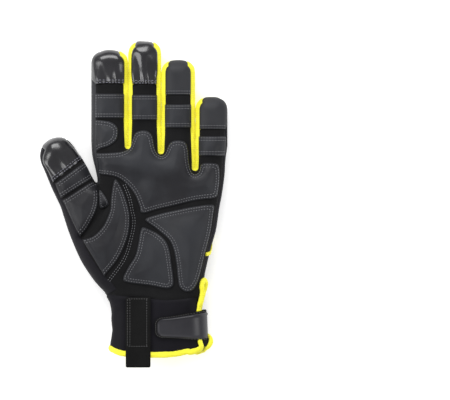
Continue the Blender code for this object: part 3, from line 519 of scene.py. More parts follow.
# %% The weave of knit cloth, webbing and stretch binding
def make_weave():
    inputs = {"Vector": None, "Across": 900.0, "Along": 900.0, "Slant": 0.0}
    tree, given, out = group_of("Weave", inputs, ["Height"])
    place = add(tree, "ShaderNodeSeparateXYZ", {"Vector": given.outputs["Vector"]})
    slant = maths(tree, "MULTIPLY", place.outputs["X"], given.outputs["Slant"])
    y = maths(tree, "ADD", place.outputs["Y"], slant)
    waves = []
    for axis, rate in ((place.outputs["X"], "Across"), (y, "Along")):
        turn = maths(tree, "MULTIPLY", axis, given.outputs[rate])
        waves.append(maths(tree, "SINE", turn))
    crossed = maths(tree, "MULTIPLY", waves[0], waves[1])
    half = maths(tree, "MULTIPLY", crossed, 0.5)
    tree.links.new(maths(tree, "ADD", half, 0.5), out.inputs["Height"])
    return tree


# %% Uneven colour in large soft patches
def make_patches():
    tree, given, out = group_of("Patches", {"Vector": None, "Scale": 30.0, "Contrast": 2.0}, ["Mask"])
    clouds = add(tree, "ShaderNodeTexNoise", {"Vector": given.outputs["Vector"],
                                              "Scale": given.outputs["Scale"], "Detail": 5.0,
                                              "Roughness": 0.6})
    centred = maths(tree, "SUBTRACT", clouds.outputs["Fac"], 0.5)
    spread = maths(tree, "MULTIPLY", centred, given.outputs["Contrast"])
    mask = add(tree, "ShaderNodeMath", {0: spread, 1: 0.5}, operation="ADD", use_clamp=True)
    tree.links.new(mask.outputs[0], out.inputs["Mask"])
    return tree


GRAIN, WEAVE, PATCHES = make_grain(), make_weave(), make_patches()
print("node groups:", [group.name for group in bpy.data.node_groups])


# %% [markdown]
# A finish mixes a dark and a light colour by the patches, roughens with them too, and takes its
# relief from grain or weave through a bump node. Sheen, coat and the like are plain numbers.

# %% One recipe for every finish
def make_finish(name, dark, light, rough, relief, depth, patches=(35.0, 2.5), speckle=0.0, **plain):
    """relief is a group and its input values, depth the bump's height in metres."""
    material = bpy.data.materials.new(name)
    material.use_nodes = True
    tree = material.node_tree
    shader = tree.nodes["Principled BSDF"]
    place = add(tree, "ShaderNodeTexCoord").outputs["Object"]
    cloud = add(tree, "ShaderNodeGroup", node_tree=PATCHES)
    cloud.inputs["Scale"].default_value, cloud.inputs["Contrast"].default_value = patches
    grain = add(tree, "ShaderNodeGroup", relief[1], node_tree=relief[0])
    for node in (cloud, grain):
        tree.links.new(place, node.inputs["Vector"])
    colour = add(tree, "ShaderNodeMix", {"Factor": cloud.outputs[0], "A": (*dark, 1), "B": (*light, 1)},
                 data_type="RGBA")
    found = colour.outputs["Result"]
    if speckle:
        shade = maths(tree, "MULTIPLY", grain.outputs[0], speckle)
        shade = maths(tree, "ADD", shade, 1 - speckle / 2)
        tint = add(tree, "ShaderNodeVectorMath", {0: found}, operation="SCALE")
        tree.links.new(shade, tint.inputs["Scale"])
        found = tint.outputs[0]
    tree.links.new(found, shader.inputs["Base Color"])
    mapped = add(tree, "ShaderNodeMapRange", {"Value": cloud.outputs[0], "To Min": rough[0],
                                              "To Max": rough[1]})
    tree.links.new(mapped.outputs[0], shader.inputs["Roughness"])
    bump = add(tree, "ShaderNodeBump", {"Height": grain.outputs[0], "Strength": 0.6,
                                        "Distance": depth})
    tree.links.new(bump.outputs[0], shader.inputs["Normal"])
    for key, value in plain.items():
        shader.inputs[key.replace("_", " ").title().replace("Ior", "IOR")].default_value = value
    return material


# %% The finishes of this glove
SUEDE = make_finish("black suede", (0.0050, 0.0050, 0.0054), (0.0105, 0.0105, 0.0112), (0.85, 0.95),
                    (GRAIN, {"Scale": 1500.0, "Softness": 0.8}), 0.0005, speckle=0.9,
                    sheen_weight=0.05, sheen_roughness=0.5, specular_ior_level=0.12)
PAD_LEATHER = make_finish("grey padded leather", (0.0125, 0.0124, 0.0152), (0.0220, 0.0234, 0.0280),
                          (0.44, 0.56), (GRAIN, {"Scale": 1300.0, "Softness": 0.35}), 0.00012,
                          patches=(18.0, 5.0), specular_ior_level=0.28)
GREY_LEATHER = make_finish("grey leather", (0.018, 0.0185, 0.0215), (0.026, 0.027, 0.0315),
                           (0.50, 0.60), (GRAIN, {"Scale": 1300.0, "Softness": 0.4}), 0.00012,
                           specular_ior_level=0.3)
GLOSS = make_finish("glossy tip", (0.006, 0.0057, 0.0075), (0.012, 0.0115, 0.015), (0.22, 0.30),
                    (GRAIN, {"Scale": 700.0, "Softness": 0.5}), 0.00005, patches=(60.0, 2.5),
                    specular_ior_level=0.45, coat_weight=0.55, coat_roughness=0.17)
KNIT = make_finish("black knit", (0.009, 0.008, 0.011), (0.017, 0.015, 0.020), (0.75, 0.85),
                   (WEAVE, {"Across": 2600.0, "Along": 5200.0}), 0.0003, speckle=0.7,
                   sheen_weight=0.12, specular_ior_level=0.15)
SMOOTH_KNIT = make_finish("smooth knit edge", (0.0045, 0.0043, 0.0068), (0.0095, 0.0088, 0.0125),
                          (0.6, 0.72), (WEAVE, {"Across": 5200.0, "Along": 5200.0}), 0.00012,
                          speckle=0.35, specular_ior_level=0.18)
NEOPRENE = make_finish("black neoprene", (0.0026, 0.0024, 0.0042), (0.0064, 0.0058, 0.0092),
                       (0.55, 0.68), (GRAIN, {"Scale": 2200.0, "Softness": 0.6}), 0.00010,
                       speckle=0.25, specular_ior_level=0.14)
# The yellow cloth's emission is a painted glow: it shines with light of its own, which no lamp gives it.
GLOWING_YELLOW = make_finish("yellow stretch cloth", (0.80, 0.74, 0.02), (0.93, 0.90, 0.05), (0.6, 0.75),
                     (WEAVE, {"Across": 4200.0, "Along": 4200.0, "Slant": 1.0}), 0.00030,
                     patches=(70.0, 2.6), speckle=0.2, emission_strength=0.12,
                     emission_color=(1.0, 0.94, 0.14, 1), sheen_weight=0.1,
                     specular_ior_level=0.25)
RUBBER = make_finish("strap rubber", (0.019, 0.0185, 0.023), (0.028, 0.0275, 0.033), (0.34, 0.44),
                     (GRAIN, {"Scale": 1800.0, "Softness": 0.6}), 0.00006, specular_ior_level=0.35)
WEBBING = make_finish("black webbing", (0.0045, 0.0045, 0.0045), (0.010, 0.010, 0.010), (0.8, 0.9),
                      (WEAVE, {"Across": 5600.0, "Along": 3400.0}), 0.0004, speckle=0.9,
                      specular_ior_level=0.12)
THREAD = make_finish("grey thread", (0.11, 0.11, 0.12), (0.18, 0.18, 0.195), (0.5, 0.65),
                     (WEAVE, {"Across": 9000.0, "Along": 9000.0, "Slant": 1.0}), 0.00008)
DARK_THREAD = make_finish("dark thread", (0.045, 0.045, 0.046), (0.09, 0.09, 0.092), (0.6, 0.7),
                          (WEAVE, {"Across": 9000.0, "Along": 9000.0, "Slant": 1.0}), 0.00008)
PALE_THREAD = make_finish("pale thread", (0.14, 0.14, 0.17), (0.24, 0.24, 0.29), (0.45, 0.55),
                          (WEAVE, {"Across": 9000.0, "Along": 9000.0, "Slant": 1.0}), 0.00008)
print("finishes:", len(bpy.data.materials))


# %% [markdown]
# ## Cutting and sewing
# Every shell starts as one flat face with the pattern's rim. An inset gives it a narrow border,
# and planes cut it into small squares. It is extruded into a second layer, and both layers are
# laid on the form, at the heights of the outer and the inner skin.

# %% Cut a flat piece into a fine net
RIM_BORDER = 0.0004


def cut_flat(rim, pitch):
    bm = bmesh.new()
    face = bm.faces.new([bm.verts.new((p[0], p[1], 0)) for p in rim])
    bm.normal_update()
    if face.normal.z < 0:
        face.normal_flip()
    bmesh.ops.inset_region(bm, faces=[face], thickness=RIM_BORDER, use_even_offset=True,
                           use_boundary=True)
    low, high = np.min(rim, axis=0), np.max(rim, axis=0)
    for axis, normal in ((0, Vector((1, 0, 0))), (1, Vector((0, 1, 0)))):
        for at in np.arange(low[axis] + pitch, high[axis] - pitch / 4, pitch):
            bmesh.ops.bisect_plane(bm, geom=bm.verts[:] + bm.edges[:] + bm.faces[:],
                                   dist=pitch * 0.04, plane_co=normal * at, plane_no=normal)
    bmesh.ops.triangulate(bm, faces=[f for f in bm.faces if len(f.verts) > 4])
    return bm


# %% Put a finished mesh in the scene
def finish(name, bm, material, nodes=(), sharp=40):
    bmesh.ops.recalc_face_normals(bm, faces=bm.faces)
    mesh = bpy.data.meshes.new(name)
    bm.to_mesh(mesh)
    bm.free()
    mesh.transform(Matrix.Translation(SHIFT))
    mesh.shade_smooth()
    mesh.set_sharp_from_angle(angle=math.radians(sharp))
    obj = bpy.data.objects.new(name, mesh)
    bpy.context.scene.collection.objects.link(obj)
    mesh.materials.append(material)
    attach(obj, "root")
    if nodes:
        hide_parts(*nodes)
    return obj


# %% [markdown]
# The height of a skin depends on how far it is from its rim: a seam is turned under there, and a
# pad is pressed down by its stitches and swells inside them. The returned surface function says
# where any point of the pattern ends up, which the stitches use.

# %% Sew a piece on the form
def flat_over(distance):
    return -0.0006 * np.exp(-(distance / 0.0010) ** 2)


def no_extra(points):
    return np.zeros(len(points))


def whole_lift(points):
    return np.ones(len(points))


def distances(tree, points):
    return np.array([tree.find((p[0], p[1], 0))[2] for p in points])


def fine_rim(rim, spacing=0.0003):
    found = []
    for a, b in zip(rim, np.roll(rim, -1, axis=0)):
        steps = max(1, math.ceil(np.linalg.norm(b - a) / spacing))
        found.extend(a + (b - a) * t for t in np.arange(steps) / steps)
    return np.array(found)


def sew_up(name, rim, lay, material, nodes, over=flat_over, under=-WALL, extra=no_extra,
           pitch=0.0014, thin=whole_lift):
    """thin says, for each point, which share of the piece's thickness it keeps."""
    rim = np.array(rim)
    tree = tree_of(fine_rim(rim))
    bm = cut_flat(rim, pitch)
    inner = bm.verts[:]
    made = bmesh.ops.extrude_face_region(bm, geom=bm.faces[:], use_keep_orig=True)["geom"]
    outer = [v for v in made if isinstance(v, bmesh.types.BMVert)]

    def surface(points, lift=0.0):
        points = np.asarray(points)
        height = over(distances(tree, points)) + extra(points)
        return lay(points)(under + (height - under) * thin(points) + lift)

    flat = np.array([v.co[:2] for v in outer])
    for vert, co in zip(outer, surface(flat)):
        vert.co = co
    flat = np.array([v.co[:2] for v in inner])
    for vert, co in zip(inner, lay(flat)(under)):
        vert.co = co
    obj = finish(name, bm, material, nodes)
    print(name, len(obj.data.polygons), "faces")
    return obj, surface


# %% [markdown]
# A strip along the edge is a grid: one way it follows the outline, the other way it goes round
# the edge. A tube, such as a binding or piping, is a grid too, rolled up round its path.

# %% Strips round the edge
def grid_of(columns, rows):
    """A grid whose points hold their column and row, before they are placed."""
    bm = bmesh.new()
    bmesh.ops.create_grid(bm, x_segments=columns, y_segments=rows, size=1)
    at = np.array([v.co[:2] for v in bm.verts])
    return bm, (at + 1) / 2 * (columns, rows)


def two_skins(name, size, placed, levels, material, nodes):
    """A grid with a second layer. placed lays each layer by columns and rows, at its level."""
    bm = grid_of(*size)[0]
    inner = bm.verts[:]
    made = bmesh.ops.extrude_face_region(bm, geom=bm.faces[:], use_keep_orig=True)["geom"]
    outer = [v for v in made if isinstance(v, bmesh.types.BMVert)]
    for verts, lift in zip((outer, inner), levels):
        at = (np.array([v.co[:2] for v in verts]) + 1) / 2 * size
        for vert, co in zip(verts, placed(at, lift)):
            vert.co = co
    obj = finish(name, bm, material, nodes)
    print(name, len(obj.data.polygons), "faces")


def strip(name, first, last, material, nodes, waves=0.0, bulge=0.0):
    size = (last - first, 14)

    def placed(at, outside):
        column = np.clip(at[:, 0], 0, size[0])
        low = np.minimum(column.astype(int), size[0] - 1)
        part, low = (column - low)[:, None], first + low
        near = OUTLINE[low] * (1 - part) + OUTLINE[low + 1] * part
        inward = unit(NORMALS[low] * (1 - part) + NORMALS[low + 1] * part)
        station = first + np.rint(column).astype(int)
        start, end = FACE_ANGLES[1][station], math.pi - FACE_ANGLES[-1][station]
        share = at[:, 1] / size[1]
        from_seam = np.minimum(share, 1 - share) * (end - start) * EDGE_ROUND
        lift = np.full(len(at), -WALL)
        if outside:
            flat = np.column_stack((at[:, 0] * SPACING, share * 0.01))
            lift = soft_waves(flat, 0.004, waves) + flat_over(from_seam)
            lift += bulge * np.sin(start + (end - start) * share) ** 6
        return round_edge(near, inward, start + (end - start) * share, lift)

    two_skins(name, size, placed, (True, False), material, nodes)


# %% Tubes along a path
def tube(name, path, outward, wide, thick, material, nodes=(), slot=None, closed=False, sides=14,
         ripple=0.0):
    """A tube of oval section: wide across the surface and thick away from it."""
    path, outward = np.asarray(path), np.asarray(outward)
    wide, thick = np.broadcast_to(wide, len(path)), np.broadcast_to(thick, len(path))
    if closed:
        path, outward = np.vstack((path, path[:1])), np.vstack((outward, outward[:1]))
        wide, thick = np.append(wide, wide[0]), np.append(thick, thick[0])
    along = np.gradient(path, axis=0)
    if closed:
        along[0] = along[-1] = path[1] - path[-2]
    along = unit(along)
    outward = unit(outward - along * (outward * along).sum(axis=1)[:, None])
    across = np.cross(along, outward)
    bm, at = grid_of(len(path) - 1, sides)
    column = np.clip(np.rint(at[:, 0]).astype(int), 0, len(path) - 1)
    turn = at[:, 1] / sides * 2 * math.pi
    swell = 1 + ripple * np.array([noise.noise(Vector(p) * 450) for p in path[column]])
    places = (path[column] + across[column] * (np.cos(turn) * swell * wide[column] / 2)[:, None]
              + outward[column] * (np.sin(turn) * swell * thick[column] / 2)[:, None])
    for vert, co in zip(bm.verts, places):
        vert.co = co
    bmesh.ops.remove_doubles(bm, verts=bm.verts, dist=2e-6)
    bmesh.ops.holes_fill(bm, edges=[e for e in bm.edges if e.is_boundary], sides=sides + 1)
    return finish(name, bm, material, nodes, sharp=60)


# %% [markdown]
# A stitch is a short round thread that dips into the leather at both ends. Each one is a small
# sphere drawn out along the seam, sunk a little into the surface below it. Double rows run beside
# most seams of this glove.

# %% Stitches along lines of the pattern
STITCH = {"pitch": 0.0021, "length": 0.00140, "width": 0.00064, "height": 0.00036}


def resample(line, spacing):
    line = np.asarray(line)
    reach = np.concatenate(((0,), np.cumsum(np.linalg.norm(np.diff(line, axis=0), axis=1))))
    count = max(2, round(reach[-1] / spacing) + 1)
    at = np.linspace(0, reach[-1], count)
    return np.column_stack([np.interp(at, reach, line[:, k]) for k in range(line.shape[1])])


def stitches(name, rows, material, size=1.0):
    """rows holds pairs: a line of the pattern and the surface it is sewn through."""
    bm = bmesh.new()
    count = 0
    for line, surface in rows:
        line = resample(line, STITCH["pitch"] * size)
        middle, way = (line[:-1] + line[1:]) / 2, unit(line[1:] - line[:-1])
        half = STITCH["length"] * size / 2
        start, end = surface(middle - way * half), surface(middle + way * half)
        centre, above = surface(middle), surface(middle, 0.001)
        for a, b, c, up in zip(start, end, centre, above - centre):
            along = Vector(b - a) / 2
            up = Vector(up)
            side = along.cross(up).normalized()
            up = side.cross(along).normalized()
            frame_of = Matrix((side * STITCH["width"] * size / 2, up * STITCH["height"] * size,
                               along)).transposed().to_4x4()
            frame_of.translation = Vector(c) + up * STITCH["height"] * size * 0.25
            bmesh.ops.create_uvsphere(bm, u_segments=6, v_segments=4, radius=1, matrix=frame_of)
            count += 1
    finish(name, bm, material, sharp=180)
    print(name, count, "stitches")


def offset_loop(rim, by):
    """The closed rim moved inwards, without the points that fold over at sharp corners."""
    rim = np.asarray(rim)
    ahead = np.roll(rim, -1, axis=0)
    area = (rim[:, 0] * ahead[:, 1] - ahead[:, 0] * rim[:, 1]).sum()
    run = unit(ahead - np.roll(rim, 1, axis=0))
    moved = rim + math.copysign(by, area) * np.column_stack((-run[:, 1], run[:, 0]))
    kept = moved[distances(tree_of(fine_rim(rim)), moved) > by * 0.97]
    return np.vstack((kept, kept[:1]))


# %% [markdown]
# ## The palm and the thumb
# Marks on the outline say where the strips along the edge begin and end. The suede faces start
# a little inside the outline, where the strips end.

# %% Marks and rims
def nearest_station(place):
    return WHOLE_EDGE.find((place[0], place[1], 0))[1]


def make_marks():
    found = {"web": nearest_station(palm_place(WEB_SIDE[1]))}
    found["thumb_tip_left"] = nearest_station(thumb_place(THUMB_TIP_ENDS[0]))
    found["thumb_tip_right"] = nearest_station(thumb_place(THUMB_TIP_ENDS[1]))
    left_wrist = line_height(WRIST_LEFT[5][0] * PALM_WIDTH, WRIST_SEAM)
    before_thumb = OUTLINE[:found["thumb_tip_left"], 1]
    found["wrist_left"] = int(np.argmin(np.abs(before_thumb - left_wrist)))
    found["thumb_seam_end"] = nearest_station(palm_place(THUMB_SEAM[-1]))
    after = nearest_station(palm_place(LITTLE_SIDE[0]))
    for name, y in (("slit_top", SLIT_TOP * PALM_LENGTH),
                    ("wrist_right", line_height(LITTLE_SIDE[9][0] * PALM_WIDTH, WRIST_SEAM))):
        found[name] = after + int(np.argmin(np.abs(OUTLINE[after:, 1] - y)))
    for number, finger in enumerate(FINGERS):
        left, right = finger_edges(number)
        top = finger_height(finger["tip"])
        for side, share in (("left", 0.22), ("right", 0.78)):
            found[f"{finger['name']}_tip_{side}"] = nearest_station((left + (right - left) * share, top))
    return found


MARKS = make_marks()
CAP_REACH = round(0.041 / SPACING)
CAP_GAP = 0.0004

# %% [markdown]
# The strips aren't equally wide everywhere. They taper to a point beside each fingertip, where the
# caps of both sides meet, and the thumb's outer strip is broad at the heel of the hand. Widths
# are angles of the round edge: the larger the angle, the narrower the strip.

# %% How far each strip reaches over the edge
TIP_TAPER = 0.009
TIP_ANGLE = 89.4
WEB_TAPER = ((0.004, 0.018, 0.032), (60, 55, 51))
PALM_STRIPS = (
    ("wrist_left", "thumb_tip_left",
     ((0.045, 12), (0.064, 14), (0.095, 21), (0.115, 36), (0.129, 46), (0.144, 51))),
    ("thumb_tip_right", "web", ((0.139, 57), (0.144, 66), (0.150, 78))),
    ("web", "index_tip_left", ((0.139, 62), (0.150, 52), (0.162, 45), (0.2178, 45), (0.2208, 80))),
    ("little_tip_right", "slit_top", ((0.06, 59), (0.1814, 62), (0.1844, 80))),
)


def make_face_angles():
    stations = np.arange(len(OUTLINE))
    found = {1: np.full(len(OUTLINE), FACE_ANGLE), -1: np.full(len(OUTLINE), FACE_ANGLE)}
    for first, last, table in PALM_STRIPS:
        here = slice(MARKS[first], MARKS[last] + 1)
        rows = np.array(table)
        found[1][here] = np.radians(np.interp(OUTLINE[here, 1], rows[:, 0], rows[:, 1]))
    for name in ["thumb", *(finger["name"] for finger in FINGERS)]:
        left, right = MARKS[f"{name}_tip_left"], MARKS[f"{name}_tip_right"]
        off = np.maximum(left - stations, stations - right) * SPACING
        share = np.clip(off / TIP_TAPER, 0, 1) ** 0.8
        for side in (1, -1):
            found[side] = np.maximum(found[side], math.radians(TIP_ANGLE) * (1 - share))
    for finger in FINGERS[:3]:
        off = np.abs(stations - nearest_station(palm_place((finger["line"], finger["web"])))) * SPACING
        near = off < WEB_TAPER[0][-1]
        found[1][near] = np.maximum(found[1], np.radians(np.interp(off, *WEB_TAPER)))[near]
    return found


FACE_ANGLES = make_face_angles()


def face_chain(first, last, inset=None, side=1):
    stations = np.arange(first, last + 1)
    if inset is None:
        inset = inset_at(FACE_ANGLES[side][stations])[:, None]
    return list(OUTLINE[stations] + NORMALS[stations] * inset)


def clip_below(points, y):
    return [p for p in points if p[1] < y - SEAM_GAP]


def face_ends(number, y, side):
    """The x where a finger's face begins and ends at a height of the pattern."""
    left, right = finger_edges(number)
    insets = [inset_at(FACE_ANGLES[side][nearest_station((x, y))]) for x in (left, right)]
    return left + insets[0], right - insets[1]


def finger_face(number, cap, rise, gap=-CAP_GAP / 2, side=1):
    """The end of one finger's face at its cap, from left to right."""
    x0, x1 = face_ends(number, finger_height(cap), side)
    steps = np.linspace(0, 1, 21)
    y = finger_height(cap) + gap + rise * (1 - (2 * steps - 1) ** 2)
    return list(np.column_stack((x0 + (x1 - x0) * steps, y)))


def finger_faces(start, end, key, rise, side=1):
    """One rim over all four fingers, from the index finger's side to the little finger's."""
    rim = clip_below(face_chain(start, MARKS["index_tip_left"], side=side), finger_height(FINGERS[0][key]))
    for number, finger in enumerate(FINGERS):
        rim += finger_face(number, finger[key], rise, side=side)
        before = MARKS[f"{finger['name']}_tip_right"]
        y = finger_height(finger[key])
        if not finger["web"]:
            return rim + clip_below(face_chain(before, end, side=side), y)
        line = finger["line"] * PALM_WIDTH
        after = FINGERS[number + 1]
        chain = face_chain(before, MARKS[f"{after['name']}_tip_left"], side=side)
        rim += clip_below([p for p in chain if p[0] < line], y)
        rim += clip_below([p for p in chain if p[0] >= line], finger_height(after[key]))


def shifted(line, by):
    run = unit(np.gradient(np.asarray(line), axis=0))
    return line + by * np.column_stack((run[:, 1], -run[:, 0]))


def inside_face(points, more=0.0, side=1, edge=WHOLE_EDGE):
    points = np.asarray(points)
    nearest = [edge.find((p[0], p[1], 0))[1] for p in points]
    return list(points[edge_distance(points, edge)[0] > inset_at(FACE_ANGLES[side][nearest]) + more])


# %% The suede of the palm and of the thumb
SLIT_HALF = 0.0062
SLIT_INSET = SLIT_HALF - SPREAD
WRIST_CORNER = 0.0012


def slit_side():
    return face_chain(MARKS["slit_top"] + 1, MARKS["wrist_right"] - 1, SLIT_INSET)


def wrist_line(left_inset):
    """The wrist seam, from the slit to a distance inside the outline's left side."""
    left = OUTLINE[MARKS["wrist_left"]][0] + left_inset
    right = OUTLINE[MARKS["wrist_right"]][0] - SLIT_INSET
    x = np.linspace(right, left, 41)
    return list(np.column_stack((x, line_height(x, WRIST_SEAM))))


def palm_rim():
    rim = finger_faces(MARKS["web"], MARKS["slit_top"], "palm_cap", 0) + slit_side()
    rim += wrist_line(WRIST_CORNER)
    rim += face_chain(MARKS["wrist_left"], MARKS["wrist_left"], -SPREAD + SEAM_ROOM)
    rim += face_chain(MARKS["wrist_left"], MARKS["thumb_seam_end"] - 1)
    return rim + inside_face(seam_curve(THUMB_SEAM)[::-1], SEAM_ROOM)


PALM_LAY = draped(1)
palm_surface = sew_up("palm_suede", palm_rim(), PALM_LAY, SUEDE, ["palm_panel"])[1]

cap = [thumb_place(p) for p in THUMB_CAP]
THUMB_ACROSS = (cap[1] - cap[0]) / np.linalg.norm(cap[1] - cap[0])
THUMB_UP = np.array((-THUMB_ACROSS[1], THUMB_ACROSS[0]))


def beyond_cap(points, by, above):
    sign = 1 if above else -1
    return [p for p in points if sign * ((p - cap[0]) @ THUMB_UP) > by]


def cap_line(by, side=1):
    steps = cap[0] + (cap[1] - cap[0]) * np.linspace(0, 1, 60)[:, None] + THUMB_UP * by
    return inside_face(steps, 0.0, side, tree_of(OUTLINE[:MARKS["web"]]))


def thumb_rim(seam, side):
    end = MARKS["thumb_seam_end"] + 1 if side > 0 else MARKS["wrist_left"]
    rim = beyond_cap(face_chain(end, MARKS["thumb_tip_left"], side=side), SEAM_ROOM, False)
    rim += cap_line(-CAP_GAP / 2, side)
    rim += beyond_cap(face_chain(MARKS["thumb_tip_right"], MARKS["web"], side=side), SEAM_ROOM, False)
    return rim + inside_face(seam_curve(seam), SEAM_ROOM, side)


BACK_LAY = draped(-1)
THUMB_SIDES = tree_of(OUTLINE[:MARKS["web"] + 1])
for name, seam, side, node in (("thumb_suede", THUMB_SEAM, 1, "thumb_panel"),
                               ("thumb_back_suede", THUMB_BACK_SEAM, -1, "thumb_back_panel")):
    sew_up(name, thumb_rim(seam, side), draped(side, THUMB_SIDES), SUEDE, [node])

# %% [markdown]
# ## The strips along the edges
# Between the fingers run bright stretch strips, one from each tip round the crotch to the next.
# They are what shows as two yellow lines between the fingers.

# %% Bright strips between the fingers, dark ones outside
for number in range(3):
    first, second = FINGERS[number]["name"], FINGERS[number + 1]["name"]
    strip(f"{first}_{second}_strip", MARKS[f"{first}_tip_right"], MARKS[f"{second}_tip_left"],
          GLOWING_YELLOW, [f"{first}_{second}_fourchette"], waves=0.0002, bulge=0.0004)
strip("thumb_outer_strip", MARKS["wrist_left"], MARKS["thumb_tip_left"], SMOOTH_KNIT,
      ["thumb_side_strip"])
strip("thumb_web_strip", MARKS["thumb_tip_right"], MARKS["web"], SUEDE,
      ["thumb_inner_strip"])
strip("index_outer_strip", MARKS["web"], MARKS["index_tip_left"], GREY_LEATHER,
      ["index_side_strip"])
strip("little_outer_strip", MARKS["little_tip_right"], MARKS["slit_top"] + 4, SMOOTH_KNIT,
      ["little_side_strip"])

# %% [markdown]
# ## The fingertips
# The thumb, index and middle fingers have glossy coated caps. The coating is stiff and wrinkles
# where it is gathered into the seam, so each of these caps has its own few folds, drawn as lines
# from the middle of the cap to its seam. The ring and little fingers have matt leather caps.

# %% The folds of the glossy caps, in shares across the finger and from seam to tip
CAP_FOLDS = {
    "index": (
        {"from": (-0.95, 0.55), "to": (-0.50, 0.02), "reach": 0.0026, "height": 0.0012, "fade": 0.7},
        {"from": (-0.45, 0.62), "to": (-0.15, 0.02), "reach": 0.0022, "height": -0.0011, "fade": 0.8},
        {"from": (0.10, 0.50), "to": (0.12, 0.02), "reach": 0.0016, "height": 0.0006, "fade": 0.9},
        {"from": (0.30, 0.62), "to": (0.42, 0.02), "reach": 0.0020, "height": -0.0011, "fade": 0.8},
        {"from": (0.92, 0.60), "to": (0.72, 0.02), "reach": 0.0022, "height": 0.0012, "fade": 0.7},
        {"from": (-0.20, 0.78), "to": (0.30, 0.82), "reach": 0.0060, "height": 0.0008},
    ),
    "middle": (
        {"from": (-0.95, 0.66), "to": (-0.62, 0.02), "reach": 0.0026, "height": 0.0015, "fade": 0.6},
        {"from": (-0.45, 0.66), "to": (-0.25, 0.02), "reach": 0.0020, "height": -0.0015, "fade": 0.8},
        {"from": (-0.12, 0.55), "to": (0.02, 0.02), "reach": 0.0015, "height": 0.0007, "fade": 0.8},
        {"from": (0.20, 0.62), "to": (0.30, 0.02), "reach": 0.0018, "height": -0.0011, "fade": 0.8},
        {"from": (0.95, 0.70), "to": (0.62, 0.02), "reach": 0.0028, "height": 0.0014, "fade": 0.6},
        {"from": (0.0, 0.74), "to": (0.05, 0.90), "reach": 0.0055, "height": 0.0009},
    ),
    "thumb": (
        {"from": (-0.70, 0.78), "to": (-0.55, 0.10), "reach": 0.0036, "height": 0.0013, "fade": 0.2},
        {"from": (-0.22, 0.55), "to": (-0.15, 0.02), "reach": 0.0026, "height": -0.0009, "fade": 0.8},
        {"from": (0.20, 0.60), "to": (0.15, 0.02), "reach": 0.0022, "height": 0.0006, "fade": 0.6},
        {"from": (0.60, 0.50), "to": (0.50, 0.05), "reach": 0.0024, "height": -0.0007, "fade": 0.7},
        {"from": (0.05, 0.70), "to": (0.15, 0.86), "reach": 0.0060, "height": 0.0008},
    ),
}


# %% Caps of the fingers
BACK_CAP_RISE = 0.002
CAP_PITCH = 0.0008
MATT_PITCH = 0.0012
CAP_WAVES = {"size": 0.0100, "height": 0.0007}


def cap_over(distance):
    return 0.0004 - 0.0008 * np.exp(-(distance / 0.0009) ** 2)


def gathered(name, place):
    """The extra height of a glossy cap: its folds and the low waves of its coating."""
    def extra(points):
        return folded(points, CAP_FOLDS[name], place) + soft_waves(points, **CAP_WAVES)
    return extra if name in CAP_FOLDS else no_extra


def finger_cap_rim(number, side, key):
    finger = FINGERS[number]
    name = finger["name"]
    left, right = MARKS[f"{name}_tip_left"], MARKS[f"{name}_tip_right"]
    y = finger_height(finger[key])
    middle = sum(finger_edges(number)) / 2
    rise = 0 if side > 0 else BACK_CAP_RISE
    rim = finger_face(number, finger[key], rise, CAP_GAP / 2, side)[::-1]
    rim += [p for p in face_chain(left - CAP_REACH, left, side=side)
            if p[1] > y + CAP_GAP and p[0] < middle]
    rim += face_chain(left + 1, right - 1, -SPREAD)
    return rim + [p for p in face_chain(right, right + CAP_REACH, side=side)
                  if p[1] > y + CAP_GAP and p[0] > middle]


CAP_SURFACES = {}
for number, finger in enumerate(FINGERS):
    name = finger["name"]
    left, right = MARKS[f"{name}_tip_left"], MARKS[f"{name}_tip_right"]
    reach = slice(left - CAP_REACH, right + CAP_REACH)
    edge = tree_of(OUTLINE[reach], left - CAP_REACH)
    x0, x1 = finger_edges(number)

    def on_cap(share, x0=x0, x1=x1, finger=finger):
        low, high = finger_height(finger["palm_cap"]), finger_height(finger["tip"])
        return np.array(((x0 + x1) / 2 + share[0] * (x1 - x0) / 2, low + share[1] * (high - low)))

    glossy = name in CAP_FOLDS
    CAP_SURFACES[name] = sew_up(
        f"{name}_cap", finger_cap_rim(number, 1, "palm_cap"), draped(1, edge),
        GLOSS if glossy else GREY_LEATHER, [f"{name}_tip"],
        over=cap_over, extra=gathered(name, on_cap), pitch=CAP_PITCH if glossy else MATT_PITCH)[1]
    CAP_SURFACES[f"{name}_back"] = sew_up(
        f"{name}_back_cap", finger_cap_rim(number, -1, "back_cap"), draped(-1, edge),
        GREY_LEATHER, [f"{name}_back_tip"])[1]

# %% Caps of the thumb
thumb_left, thumb_right = MARKS["thumb_tip_left"], MARKS["thumb_tip_right"]
thumb_edge = tree_of(OUTLINE[thumb_left - CAP_REACH:thumb_right + CAP_REACH], thumb_left - CAP_REACH)


def thumb_cap_rim(side):
    rim = cap_line(CAP_GAP / 2, side)[::-1]
    rim += beyond_cap(face_chain(thumb_left - CAP_REACH, thumb_left, side=side), CAP_GAP, True)
    rim += face_chain(thumb_left + 1, thumb_right - 1, -SPREAD)
    return rim + beyond_cap(face_chain(thumb_right, thumb_right + CAP_REACH, side=side), CAP_GAP, True)


def on_thumb_cap(share):
    middle = (cap[0] + cap[1]) / 2
    return (middle + share[0] * THUMB_WIDTH / 2 * THUMB_ACROSS
            + share[1] * 0.39 * THUMB_LENGTH * THUMB_UP)


CAP_SURFACES["thumb"] = sew_up(
    "thumb_cap", thumb_cap_rim(1), draped(1, thumb_edge), GLOSS, ["thumb_tip"],
    over=cap_over, extra=gathered("thumb", on_thumb_cap), pitch=CAP_PITCH)[1]
CAP_SURFACES["thumb_back"] = sew_up(
    "thumb_back_cap", thumb_cap_rim(-1), draped(-1, thumb_edge), GREY_LEATHER, ["thumb_back_tip"])[1]

